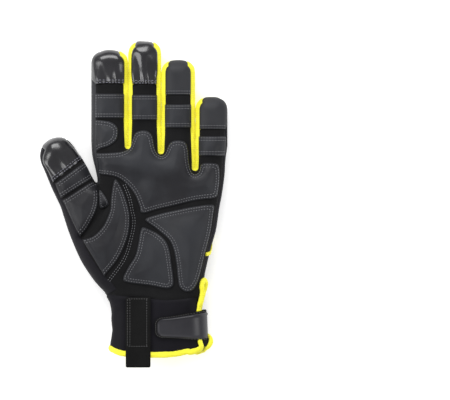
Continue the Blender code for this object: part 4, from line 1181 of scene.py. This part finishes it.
# %% [markdown]
# ## The pads
# The needle-resistant leather is sewn on the suede in padded pieces, each with two rows of
# stitches inside its rim. The rows press narrow grooves into it, and between them and inside them
# the padding swells. Cloth simulation was left out: the padding is a few millimetres thick, so a
# simulated swell would lose the two grooves, and a height curve across the rim gives both.

# %% The pads' outlines, in palm shares, and at pixels of the photograph for the thumb
PIXEL = 0.0008
PHOTO_ORIGIN = (160, 356)


def seen_row(py):
    return (PHOTO_ORIGIN[1] - py) * PIXEL


def seen(px, py, z):
    """A place at a pixel of the photograph, and at a height in millimetres."""
    return np.array(((px - PHOTO_ORIGIN[0]) * PIXEL, seen_row(py), z / 1000))


def seen_line(pixels):
    return [seen(px, py, 0)[:2] for px, py in pixels]


PALM_PADS = {
    "index_base_pad": ((-0.500, 1.163), (-0.423, 1.158), (-0.369, 1.15), (-0.331, 1.128),
                       (-0.323, 1.099), (-0.338, 1.062), (-0.392, 1.034), (-0.454, 1.02),
                       (-0.493, 1.004)),
    "palm_pad": ((-0.491, 0.998), (-0.392, 1.0), (-0.295, 1.005), (-0.246, 1.022), (-0.212, 1.065),
                 (-0.189, 1.096), (-0.15, 1.109), (-0.1, 1.108), (-0.062, 1.086), (-0.048, 1.042),
                 (-0.031, 1.008), (0.006, 0.987), (0.04, 0.997), (0.067, 1.036), (0.096, 1.056),
                 (0.153, 1.061), (0.197, 1.049), (0.215, 1.01), (0.223, 0.952), (0.245, 0.906),
                 (0.276, 0.895), (0.303, 0.912), (0.312, 0.939), (0.346, 0.95), (0.425, 0.948),
                 (0.452, 0.929), (0.458, 0.872), (0.448, 0.813), (0.423, 0.782), (0.263, 0.765),
                 (0.141, 0.746), (-0.007, 0.724), (-0.132, 0.704), (-0.155, 0.737),
                 (-0.189, 0.792), (-0.24, 0.836), (-0.309, 0.873), (-0.378, 0.888),
                 (-0.479, 0.896)),
    "outer_heel_pad": ((-0.111, 0.672), (-0.007, 0.699), (0.141, 0.721), (0.263, 0.736),
                       (0.405, 0.744), (0.408, 0.699), (0.386, 0.604), (0.348, 0.51),
                       (0.318, 0.429), (0.29, 0.369), (0.25, 0.327), (0.195, 0.319),
                       (0.154, 0.34), (0.141, 0.374), (0.128, 0.447), (0.106, 0.526),
                       (0.063, 0.579), (-0.032, 0.63)),
    "centre_heel_pad": ((-0.123, 0.635), (-0.032, 0.609), (0.04, 0.571), (0.072, 0.526),
                        (0.092, 0.447), (0.105, 0.376), (0.096, 0.345), (0.048, 0.335),
                        (-0.062, 0.348), (-0.246, 0.364), (-0.28, 0.384), (-0.247, 0.432),
                        (-0.188, 0.495), (-0.163, 0.558), (-0.147, 0.616)),
    "thenar_pad": ((-0.591, 0.575), (-0.505, 0.593), (-0.428, 0.645), (-0.383, 0.715), (-0.371, 0.793),
                   (-0.35, 0.865), (-0.319, 0.86), (-0.272, 0.798), (-0.234, 0.715),
                   (-0.228, 0.652), (-0.252, 0.573), (-0.321, 0.479), (-0.424, 0.397)),
}
CORNERED_PADS = ("index_base_pad", "palm_pad", "thenar_pad")
THUMB_PADS = {
    "thumb_middle_pad": ((56.0, 183.6), (84.0, 162.3), (91.9, 178.6), (61.6, 198.2)),
    "thumb_root_pad": ((62.6, 200.9), (93.2, 181.0), (97.6, 187.5), (98.9, 195.0), (98.4, 203.0),
                       (95.8, 212.6), (91.0, 222.4), (85.8, 230.6), (80.2, 236.6)),
}
PAD_LIFT = 0.0001
PAD_RIM = 0.0006
PAD_THICKNESS = 0.0018
PAD_SWELL = {"palm": 0.0014, "thumb": 0.0008, "finger": 0.0007}
PAD_PITCH = 0.0007
ROWS_INSIDE = (0.0013, 0.0033)
ROW_MARGIN = 0.0005
BORDER_ROOM = 0.0001


# %% The swell of a pad across its rim
def pad_over(thickness, swell):
    def over(distance):
        edge = 1 - np.exp(-(distance / 0.0007) ** 1.5)
        crown = 1 - np.exp(-(np.maximum(distance - ROWS_INSIDE[1], 0) / 0.007) ** 2)
        groove = sum(np.exp(-((distance - row) / 0.00045) ** 2) for row in ROWS_INSIDE)
        return PAD_LIFT + PAD_RIM + (thickness - PAD_RIM) * edge + swell * crown - 0.0003 * groove
    return over


def thin_at_edge(points, edge):
    """The share of its thickness that a pad keeps where it goes round the glove's edge."""
    distance = edge_distance(points, edge)[0]
    turn = np.clip((EDGE_ROUND - distance) / EDGE_ARC, 0, 1) * 90
    return np.interp(turn, (15, 48, 75), (1.0, 0.40, 0.25))


def on_face(rim, edge=WHOLE_EDGE):
    """The rim, kept on the face: what lies beyond a strip's border is drawn in to the border."""
    rim = fine_rim(np.array(rim), 0.0008)
    distance, near, inward = edge_distance(rim, edge)
    station = [edge.find((p[0], p[1], 0))[1] for p in rim]
    least = inset_at(FACE_ANGLES[1][station]) + BORDER_ROOM
    return near + inward * np.maximum(distance, least)[:, None]


def opened_out(points, edge):
    """Places measured from above, as places of the flat pattern."""
    distance, near, inward = edge_distance(points, edge)
    turn = np.arcsin(np.clip(1 - distance / EDGE_ROUND, 0, 1))
    distance = np.where(distance < EDGE_ROUND, EDGE_ROUND - EDGE_ARC * turn / (math.pi / 2), distance)
    return near + inward * distance[:, None]


def make_pad(name, rim, where, edge=WHOLE_EDGE):
    obj, surface = sew_up(name + "_cover", rim, draped(1, edge), PAD_LEATHER, [name],
                          over=pad_over(PAD_THICKNESS, PAD_SWELL[where]), under=PAD_LIFT,
                          pitch=PAD_PITCH, thin=lambda points: thin_at_edge(points, edge))
    return surface


# %% Pads of the palm, each with two rows of stitches
def open_row(curve, by):
    """A row inside an open curve, as far as the straight edge that closes it."""
    closing = curve[0] - curve[-1]
    inward = np.array((closing[1], -closing[0])) / np.linalg.norm(closing)
    beyond = inward * 0.006
    loop = offset_loop(np.vstack((curve[0] - beyond, curve, curve[-1] - beyond)), by)[:-1]
    return loop[(loop - curve[0]) @ inward > ROW_MARGIN]


pad_rows = []
for name, table in PALM_PADS.items():
    cornered_pad = name in CORNERED_PADS
    rim = curve_through([palm_place(p) for p in table], 0.001, closed=not cornered_pad)
    surface = make_pad(name, on_face(rim), "palm")
    for row in ROWS_INSIDE:
        pad_rows.append((open_row(rim, row) if cornered_pad else offset_loop(rim, row), surface))
stitches("palm_pad_stitches", pad_rows, THREAD)


# %% Pads of the thumb, stitched across and along the root pad's curved side
def rows_beside(line, surface):
    """Two rows to the right of a line of the pattern, which runs clockwise round a pad."""
    line = resample(line, 0.0008)
    return [(shifted(line, row)[2:-2], surface) for row in ROWS_INSIDE]


thumb_rows = []
THUMB_EDGES = tree_of(OUTLINE[:MARKS["web"] - 4])
corners, places = (opened_out(np.array(seen_line(pixels)), THUMB_EDGES)
                   for pixels in THUMB_PADS.values())
surface = make_pad("thumb_middle_pad", on_face(corners, THUMB_EDGES), "thumb", THUMB_SIDES)
for first, second in ((0, 1), (2, 3)):
    thumb_rows += rows_beside(np.array((corners[first], corners[second])), surface)
right_side = curve_through(places[1:], 0.001)
rim = on_face(np.vstack((places[:1], right_side)), THUMB_EDGES)
surface = make_pad("thumb_root_pad", rim, "thumb", THUMB_SIDES)
thumb_rows += rows_beside(np.array(places[:2]), surface) + rows_beside(right_side[8:], surface)
stitches("thumb_pad_stitches", thumb_rows, THREAD)

# %% Pads of the fingers, stitched across at both ends
PAD_MARGIN = 0.0003
PAD_CORNER = 0.0008


def cornered(points, corner):
    """A closed outline with straight sides and small round corners."""
    points = [np.asarray(p) for p in points]
    found = []
    for before, at, after in zip([points[-1], *points], points, [*points[1:], points[0]]):
        start = at + (before - at) / np.linalg.norm(before - at) * corner
        end = at + (after - at) / np.linalg.norm(after - at) * corner
        for t in np.linspace(0, 1, 6):
            found.append((1 - t) ** 2 * start + 2 * t * (1 - t) * at + t ** 2 * end)
    return fine_rim(np.array(found), 0.001)


finger_rows = []
for number, finger in enumerate(FINGERS):
    y0, y1 = (finger_height(share) for share in FINGER_PADS[finger["name"]])
    x0, x1 = face_ends(number, (y0 + y1) / 2, 1)
    x0, x1 = x0 + PAD_MARGIN, x1 - PAD_MARGIN
    rim = cornered([(x0, y0), (x1, y0), (x1, y1), (x0, y1)], PAD_CORNER)
    surface = make_pad(f"{finger['name']}_pad", rim, "finger")
    for y in (y0 + ROWS_INSIDE[0], y0 + ROWS_INSIDE[1], y1 - ROWS_INSIDE[0], y1 - ROWS_INSIDE[1]):
        finger_rows.append((np.array(((x0 + ROW_MARGIN, y), (x1 - ROW_MARGIN, y))), surface))
    if finger["name"] == "index":
        x = x0 + ROWS_INSIDE[0]
        finger_rows.append((np.array(((x, y0 + ROW_MARGIN), (x, y1 - ROW_MARGIN))), surface))
stitches("finger_pad_stitches", finger_rows, THREAD)

# %% Stitches of the caps
CAP_ROWS = (0.0011, 0.0030)
cap_rows, matt_rows = [], []
for number, finger in enumerate(FINGERS):
    name = finger["name"]
    for side, suffix, key, rise in ((1, "", "palm_cap", 0), (-1, "_back", "back_cap", BACK_CAP_RISE)):
        for by in CAP_ROWS:
            line = np.array(finger_face(number, finger[key], rise, by, side))[1:-1]
            rows = cap_rows if side > 0 and name in CAP_FOLDS else matt_rows
            rows.append((line, CAP_SURFACES[name + suffix]))
for by in CAP_ROWS:
    cap_rows.append((np.array(cap_line(by)), CAP_SURFACES["thumb"]))
    matt_rows.append((np.array(cap_line(by, -1)), CAP_SURFACES["thumb_back"]))
stitches("gloss_cap_stitches", cap_rows, PALE_THREAD, size=1.15)
stitches("matt_cap_stitches", matt_rows, THREAD)

# %% [markdown]
# ## The back
# The back has a ribbed knit piece over the fingers and one below the knuckles, with a neoprene
# band between them and a bright piping under the band.

# %% The back's pieces
back_seam = seam_curve(THUMB_BACK_SEAM)
knuckle = seam_curve(KNUCKLE_SEAM)
piping = seam_curve(PIPING, 0.001)
after_little = nearest_station(palm_place(LITTLE_SIDE[0]))


def on_back(points):
    """The points that lie on the back, between the thumb's seam and the strip of the other side."""
    points = np.asarray(points)
    seam_x = np.interp(points[:, 1], back_seam[::-1, 1], back_seam[::-1, 0])
    return inside_face(points[points[:, 0] > seam_x + SEAM_ROOM], SEAM_ROOM, -1)


def little_side(low, high):
    return [p for p in face_chain(after_little, MARKS["slit_top"], side=-1) if low < p[1] < high]


def thumb_side(low, high):
    return inside_face([p for p in back_seam if low < p[1] < high], SEAM_ROOM, -1)


seam_top = on_back(knuckle)
past_little = nearest_station(palm_place(LITTLE_SIDE[3]))
rim = finger_faces(MARKS["web"], past_little, "back_cap", BACK_CAP_RISE, -1)
rim = [p for p in rim if p[1] > line_height(p[0], KNUCKLE_SEAM) + 2 * SEAM_ROOM]
finger_back_surface = sew_up("finger_back_knit", rim + seam_top[::-1], BACK_LAY, KNIT,
                             ["back_finger_panel"])[1]

low = on_back(piping)
rim = seam_top + little_side(low[-1][1] + SEAM_ROOM, seam_top[-1][1] - SEAM_ROOM) + low[::-1]
rim += thumb_side(low[0][1] + SEAM_ROOM, seam_top[0][1] - SEAM_ROOM)[::-1]
band_surface = sew_up("knuckle_neoprene", rim, BACK_LAY, NEOPRENE, ["knuckle_band"])[1]

rim = low + little_side(SLIT_TOP * PALM_LENGTH, low[-1][1] - SEAM_ROOM) + slit_side()
rim += [p for p in wrist_line(FACE_INSET) if p[0] > back_seam[-1][0] + SEAM_ROOM]
seam_end = line_height(back_seam[-1][0], WRIST_SEAM)
rim += thumb_side(seam_end + SEAM_ROOM, low[0][1] - SEAM_ROOM)[::-1]
sew_up("lower_back_knit", rim, BACK_LAY, KNIT, ["lower_back_panel"])

# %% The piping under the knuckle band, round to the palm side
# Round the side, the piping sinks: its angle on the round edge, and its height in palm shares
PIPING_ROUND_SIDE = ((50, 90, 135), (0.4975, 0.510, 0.580))
PIPING_SECTION = (0.0030, 0.0017)

side_turn = np.linspace(PIPING_ROUND_SIDE[0][-1], PIPING_ROUND_SIDE[0][0], 9)
side_y = np.interp(side_turn, *PIPING_ROUND_SIDE) * PALM_LENGTH
side_near, side_in = edge_distance(np.column_stack((wrist_edges(side_y)[1], side_y)))[1:]
wrap = round_edge(side_near, side_in, np.radians(side_turn), 0.0003)
path_points = BACK_LAY(np.array(low))(0.0001)
before_side = path_points[:, 0] < wrap[0][0] - 0.0015
path_points = curve_through(np.vstack((path_points[before_side][::3], wrap)), 0.0008)
core = np.column_stack((path_points[:, 0] * 0.9, path_points[:, 1], np.full(len(path_points), EDGE_RISE)))
tube("knuckle_piping_cord", path_points, path_points - core, *PIPING_SECTION, GLOWING_YELLOW,
     ["knuckle_piping"], "yellow_cloth", ripple=0.08)

# %% The stitches of the knuckle seam
back_rows = [(shifted(knuckle, by)[6:-6], band_surface if by > 0 else finger_back_surface)
             for by in (-0.0016, 0.0012, 0.0032)]
stitches("knuckle_seam_stitches", back_rows, DARK_THREAD)

# %% [markdown]
# ## The cuff
# The cuff is a neoprene sleeve, slit on the little finger's side. Its pattern is a rectangle that
# goes round the wrist, and its two long edges follow the cuff's edge and the wrist seam.

# %% The sleeve
NOMINAL = 0.15 * PALM_LENGTH
CUFF_TUCK = 0.0040
CUFF_HEM = 0.0012
CUFF_GRID = (150, 44)


def around(way):
    """The x that a way round the wrist has at the middle of the cuff."""
    return round_wrist(np.column_stack((way, np.full(len(way), NOMINAL))), 0)[:, 0]


def lay_cuff(points):
    first, last = SLIT_HALF, WRIST_ROUND - SLIT_HALF
    way = first + (last - first) * points[:, 0]
    x = around(way)
    low, high = cuff_edge_height(x) + CUFF_HEM, line_height(x, WRIST_SEAM) + CUFF_TUCK
    return wound(np.column_stack((way, low + (high - low) * points[:, 1])))


def make_cuff():
    """The sleeve sinks by 1.2 mm where it runs under the suede at the wrist seam."""
    def placed(at, lift):
        share = at / CUFF_GRID
        from_seam = (1 - share[:, 1]) * 0.045
        height = lift - 0.0012 / (1 + np.exp((from_seam - CUFF_TUCK) / 0.0004))
        return lay_cuff(share)(height + soft_waves(share * (0.17, 0.05), 0.012, 0.0006))

    two_skins("cuff_sleeve", CUFF_GRID, placed, (0, -WALL), NEOPRENE, ["cuff"])


make_cuff()

# %% [markdown]
# The binding is one closed loop of folded stretch cloth: round the lower edge, up both sides of
# the slit and over its top. Where the strap pulls the slit together, the loose binding bulges out
# in an S above the strap and curls below it. Its points there are listed one by one, at the places
# that the photograph shows, with their heights above the table.

# %% The binding's path
BINDING_LIFT = -0.0002
BINDING_RISE = 0.0021
# Both legs of the binding beside the slit: the photograph's row, then column and height of each
SLIT_LEGS = ((286, 201.9, 20.5, 205.4, 12.5), (293, 202.5, 21.2, 203.4, 12.5),
             (300, 201.2, 22.0, 201.8, 12.5), (308, 199.3, 22.4, 200.4, 11.0),
             (318, 198.8, 21.6, 200.6, 9.0), (328, 199.2, 21.6, 202.0, 9.0),
             (335.0, 199.8, 22.4, 206.8, 12.0), (338, 200.0, 22.9, 210.0, 14.5),
             (342, 200.4, 23.0, 210.7, 16.5), (346.2, 201.4, 22.6, 208.4, 17.5),
             (349.2, 198.6, 23.0, 204.6, 16.0))
palm_leg = [seen(px, py, z) for py, px, z, _, _ in SLIT_LEGS]
back_leg = [seen(px, py, z) for py, _, _, px, z in SLIT_LEGS]
top_turn = [seen(202.4, 282.0, 18.5), seen(204.2, 280.4, 15.5), seen(205.6, 282.0, 13.2)]
S_BEND = [seen(190.5, 351.6, 23.6), *palm_leg[::-1], *top_turn, *back_leg, seen(201.5, 350.6, 10.0),
          seen(197.0, 352.2, 6.5)]


def lower_edge():
    """The binding's middle line round the cuff, from the back of the slit to its palm side."""
    way = np.arange(0.012, WRIST_ROUND - 0.016, 0.0015)[::-1]
    y = cuff_edge_height(around(way)) + BINDING_RISE
    return round_wrist(np.column_stack((way, y)), BINDING_LIFT)


edge_run = lower_edge()[::-1]
first_palm = [k for k, p in enumerate(edge_run) if p[0] < S_BEND[0][0] - 0.002][0]
back_half = [k for k, p in enumerate(edge_run) if p[2] < 0.008 and p[0] < S_BEND[-1][0] - 0.002][-1]
loop = curve_through(np.vstack((edge_run[first_palm:back_half:4], S_BEND[::-1])), 0.0007, closed=True)
print("binding:", len(loop), "points along its middle line")

# %% [markdown]
# The strap presses the binding thin where it lies on it. Above the strap the binding is bunched and
# thicker, and it is thickest in the curl, which is what stands out furthest.

# %% The binding
BINDING_SECTION = (0.0047, 0.0028)
# The middle of the wrist, which the binding turns its outer side away from: left, right, height
WRIST_MIDDLE = (-0.028, 0.022, 0.0138)

left, right, height = WRIST_MIDDLE
axis = np.column_stack((np.clip(loop[:, 0], left, right), loop[:, 1], np.full(len(loop), height)))
beside_slit = (loop[:, 0] > 0.026) * np.clip((loop[:, 1] - seen_row(350)) / 0.003, 0, 1)
pressed = 0.35 * np.exp(-((loop[:, 1] - seen_row(325)) / 0.009) ** 2)
bunched = 0.38 * np.clip((loop[:, 1] - seen_row(308)) / 0.006, 0, 1)
curled = 0.40 * np.clip((loop[:, 0] - 0.0365) / 0.002, 0, 1)
thick = BINDING_SECTION[1] * (1 + beside_slit * (bunched - pressed)) * (1 + curled)
tube("cuff_edge_binding", loop, loop - axis, BINDING_SECTION[0], thick, GLOWING_YELLOW, ["cuff_binding"],
     "yellow_cloth", closed=True, sides=18, ripple=0.10)

# %% [markdown]
# Behind the slit the dark stretch cloth of a gusset shows, and the cuff's edge fills the curl of
# its binding. Both are short grids with two skins.

# %% The gusset in the slit and the cuff's edge in the curl
GUSSET = {"reach": 0.0115, "lift": -0.0017, "thickness": 0.0008}
FLAP_THICKNESS = 0.0010


def make_gusset():
    size = (24, 60)
    low, high = cuff_edge_height(0.035) + 0.003, (SLIT_TOP + 0.03) * PALM_LENGTH

    def placed(at, lift):
        share = at / size
        flat = np.column_stack(((2 * share[:, 0] - 1) * GUSSET["reach"], low + (high - low) * share[:, 1]))
        return round_wrist(flat, lift + GUSSET["lift"] + soft_waves(flat, 0.004, 0.0003))

    two_skins("slit_gusset", size, placed, (0, -GUSSET["thickness"]), SMOOTH_KNIT, ())


def evened(line, count):
    """The line with another number of points."""
    old, new = np.linspace(0, 1, len(line)), np.linspace(0, 1, count)
    return np.column_stack([np.interp(new, old, line[:, axis]) for axis in range(3)])


def make_flap():
    """The flap fills the binding's curl: its columns run along the two legs, its rows across."""
    size = (40, 10)
    palm_edge, back_edge = (evened(curve_through(leg[3:-1], 0.001), size[0] + 1)
                            for leg in (palm_leg, back_leg))

    def placed(at, side):
        column = np.clip(np.rint(at[:, 0]).astype(int), 0, size[0])
        across = (back_edge - palm_edge)[column]
        along = np.gradient(palm_edge, axis=0)[column]
        normal = unit(np.cross(across, along))
        share = (at[:, 1] / size[1])[:, None]
        return palm_edge[column] + across * share + normal * side * FLAP_THICKNESS / 2

    two_skins("cuff_flap", size, placed, (1, -1), NEOPRENE, ())


make_gusset()
make_flap()

# %% [markdown]
# ## The strap and the pull tab
# The strap has a thin woven base with a stitched edge, and a moulded rubber face whose rim
# stands up. Both are cut as rectangles with round corners and wound round the wrist.

# %% The strap's base and its moulded face
STRAP_WIDTH = 0.0184
STRAP_LIFT = 0.0013
STRAP_MIDDLE = ((-0.4, 0.137), (-0.038, 0.1405), (0.346, 0.152))
STRAP_BASE = 0.0013
# How wide the strap is, as a share of STRAP_WIDTH
STRAP_SHARES = {"palm end": 0.86, "back end": 0.98, "slit": 1.36}
# How far from the slit its wide part reaches
STRAP_WIDE_REACH = 0.026


def rounded(x0, x1, y0, y1, corner, steps=10):
    found = []
    for cx, cy, start in ((x1 - corner, y1 - corner, 0), (x0 + corner, y1 - corner, 90),
                          (x0 + corner, y0 + corner, 180), (x1 - corner, y0 + corner, 270)):
        for turn in np.radians(np.linspace(start, start + 90, steps)):
            found.append((cx + corner * math.cos(turn), cy + corner * math.sin(turn)))
    return fine_rim(np.array(found), 0.001)


def way_to(share, side):
    left, right = wrist_edges(STRAP_MIDDLE[1][1] * PALM_LENGTH)
    run = (right - EDGE_ROUND - share * PALM_WIDTH) / (right - left - 2 * EDGE_ROUND)
    return side * (EDGE_ARC + run * (WRIST_ROUND / 2 - 2 * EDGE_ARC))


def strap_spread(way):
    """The strap is widest where it crosses the slit."""
    ends = np.where(way > 0, STRAP_SHARES["palm end"], STRAP_SHARES["back end"])
    return ends + (STRAP_SHARES["slit"] - ends) * np.exp(-(way / STRAP_WIDE_REACH) ** 2)


def lay_strap(points):
    middle = line_height(around(points[:, 0]), STRAP_MIDDLE)
    y = middle + points[:, 1] * strap_spread(points[:, 0])
    return wound(np.column_stack((points[:, 0], y)))


def base_over(distance):
    return STRAP_LIFT + STRAP_BASE - 0.0004 * np.exp(-(distance / 0.0006) ** 2)


def face_over(distance):
    """A raised rim, and a lower flat field inside it."""
    rise = 1 - np.exp(-(distance / 0.0005) ** 2)
    rim_part = np.exp(-((distance - 0.0009) / 0.0006) ** 2)
    return STRAP_LIFT + 0.0012 + 0.0006 * rise + 0.0006 * rim_part


back_end, palm_end = way_to(-0.235, -1), way_to(-0.038, 1)
half = STRAP_WIDTH / 2
base_rim = rounded(back_end, palm_end, -half, half, 0.0062)
base_surface = sew_up("strap_base", base_rim, lay_strap, WEBBING, ["wrist_strap"],
                      over=base_over, under=STRAP_LIFT - 0.0002, pitch=0.0012)[1]
face_rim = rounded(back_end + 0.0022, palm_end - 0.0018, -half + 0.0010, half - 0.0015, 0.0056)
sew_up("strap_face", face_rim, lay_strap, RUBBER, (), over=face_over,
       under=STRAP_LIFT + 0.0006, pitch=0.0007)
stitches("strap_stitches", [(offset_loop(base_rim, 0.0008), base_surface)], DARK_THREAD, size=0.9)

# %% The pull tab
TAB_WIDTH = 0.0198
TAB_TOP = 0.292 * PALM_LENGTH
TAB_LIFT = 0.0012
tab_rim = rounded(TAB_LINE - TAB_WIDTH / 2, TAB_LINE + TAB_WIDTH / 2, tab_end, TAB_TOP, 0.0012)


def tab_over(distance):
    return TAB_LIFT + 0.0013 - 0.0006 * np.exp(-(distance / 0.0008) ** 2)


tab_surface = sew_up("pull_tab_webbing", tab_rim, PALM_LAY, WEBBING, ["pull_tab"],
                     over=tab_over, under=TAB_LIFT - 0.0006, pitch=0.0009)[1]
x0, x1 = TAB_LINE - TAB_WIDTH / 2, TAB_LINE + TAB_WIDTH / 2
fold, top_row = seen_row(345.6), TAB_TOP - 0.0014
tab_rows = [((x, fold), (x, top_row)) for x in (x0 + 0.0014, x0 + 0.0034, x1 - 0.0030)]
tab_rows += [((x0 + 0.002, y), (x1 - 0.002, y)) for y in (top_row, fold)]
tab_rows = [(np.array(row), tab_surface) for row in tab_rows]
stitches("pull_tab_stitches", tab_rows, DARK_THREAD)

# %% [markdown]
# ## Seams on the suede
# A double row curves round the ball of the thumb on the bare suede, and a small stitched leaf of
# leather covers the end of the thumb's seam.

# %% Stitches on the suede
outer_seam = seen_line(((124.3, 184), (129.5, 197), (132.4, 210.9), (134.3, 222.4), (131.1, 239.6),
                        (124.7, 258.8), (108.8, 281.1)))
suede_rows = [(shifted(curve_through(outer_seam, 0.001), by), palm_surface) for by in (-0.0009, 0.0009)]
stitches("suede_seam_stitches", suede_rows, THREAD)

# %% The leather leaf in the thumb's fold
LEAF = ((99.6, 190.8), (101.8, 191.6), (105.6, 196.6), (108.6, 202.4), (108.4, 205.2), (105.0, 207.4),
        (101.6, 208.4), (100.2, 206.0), (99.6, 198.0))
leaf = curve_through(seen_line(LEAF), 0.0008, closed=True)
leaf_surface = sew_up("thumb_fold_leaf", leaf, PALM_LAY, GREY_LEATHER, (),
                      over=pad_over(0.0012, 0.0005), under=0.0002, pitch=PAD_PITCH)[1]
stitches("thumb_fold_leaf_stitches", [(offset_loop(leaf, 0.0012), leaf_surface)], THREAD, size=0.9)

# %% [markdown]
# ## Floor, light and camera
# The photograph has a white ground and soft light, mostly from the side of the fingertips. A wide
# pale floor and three soft lamps give both. The camera looks straight down from far away with a
# long lens, so that the glove keeps its flat outline.

# %% The floor, just under the lowest stitches
FLOOR_HEIGHT = -0.0005
PAPER = {"Base Color": (0.92, 0.92, 0.92, 1), "Roughness": 0.9, "Emission Color": (1, 1, 1, 1),
         "Emission Strength": 0.42}

bpy.ops.mesh.primitive_plane_add(size=6, location=(0, 0, FLOOR_HEIGHT))
floor = bpy.context.object
floor.name = "floor"
paper = bpy.data.materials.new("pale floor")
paper.use_nodes = True
for key, value in PAPER.items():
    paper.node_tree.nodes["Principled BSDF"].inputs[key].default_value = value
floor.data.materials.append(paper)


# %% Lamps and world
def soft_lamp(name, place, target, size, power):
    lamp = bpy.data.lights.new(name, "AREA")
    lamp.shape = "RECTANGLE"
    lamp.size, lamp.size_y = size
    lamp.energy = power
    obj = bpy.data.objects.new(name, lamp)
    bpy.context.scene.collection.objects.link(obj)
    obj.location = place
    obj.rotation_euler = (Vector(target) - Vector(place)).to_track_quat("-Z", "Y").to_euler()


soft_lamp("fingertip side", (-0.25, 1.15, 0.95), (0, 0.02, 0), (1.2, 0.6), 15)
soft_lamp("thumb side", (-1.05, -0.05, 0.85), (0, 0, 0), (0.6, 0.8), 7.5)
soft_lamp("little finger side", (0.95, -0.15, 0.9), (0, 0, 0), (0.4, 0.6), 4)
world = bpy.data.worlds.new("studio")
world.use_nodes = True
world.node_tree.nodes["Background"].inputs["Color"].default_value = (1, 1, 1, 1)
world.node_tree.nodes["Background"].inputs["Strength"].default_value = 0.45
bpy.context.scene.world = world
bpy.context.scene.view_settings.view_transform = "Standard"

# %% The camera, over the middle of the photograph
PHOTO_SIZE = (450, 400)
DISTANCE = 2.5
GLOVE_MIDDLE = 0.015
SENSOR = 36
photo_middle = seen(PHOTO_SIZE[0] / 2, PHOTO_SIZE[1] / 2, 0)[:2]
camera = bpy.data.cameras.new("camera")
camera.sensor_width = SENSOR
camera.lens = SENSOR * (DISTANCE - GLOVE_MIDDLE) / (PHOTO_SIZE[0] * PIXEL)
camera_obj = bpy.data.objects.new("camera", camera)
bpy.context.scene.collection.objects.link(camera_obj)
camera_obj.location = (photo_middle[0] + SHIFT.x, photo_middle[1] + SHIFT.y, DISTANCE)
bpy.context.scene.camera = camera_obj
print("lens:", round(camera.lens, 1), "mm")
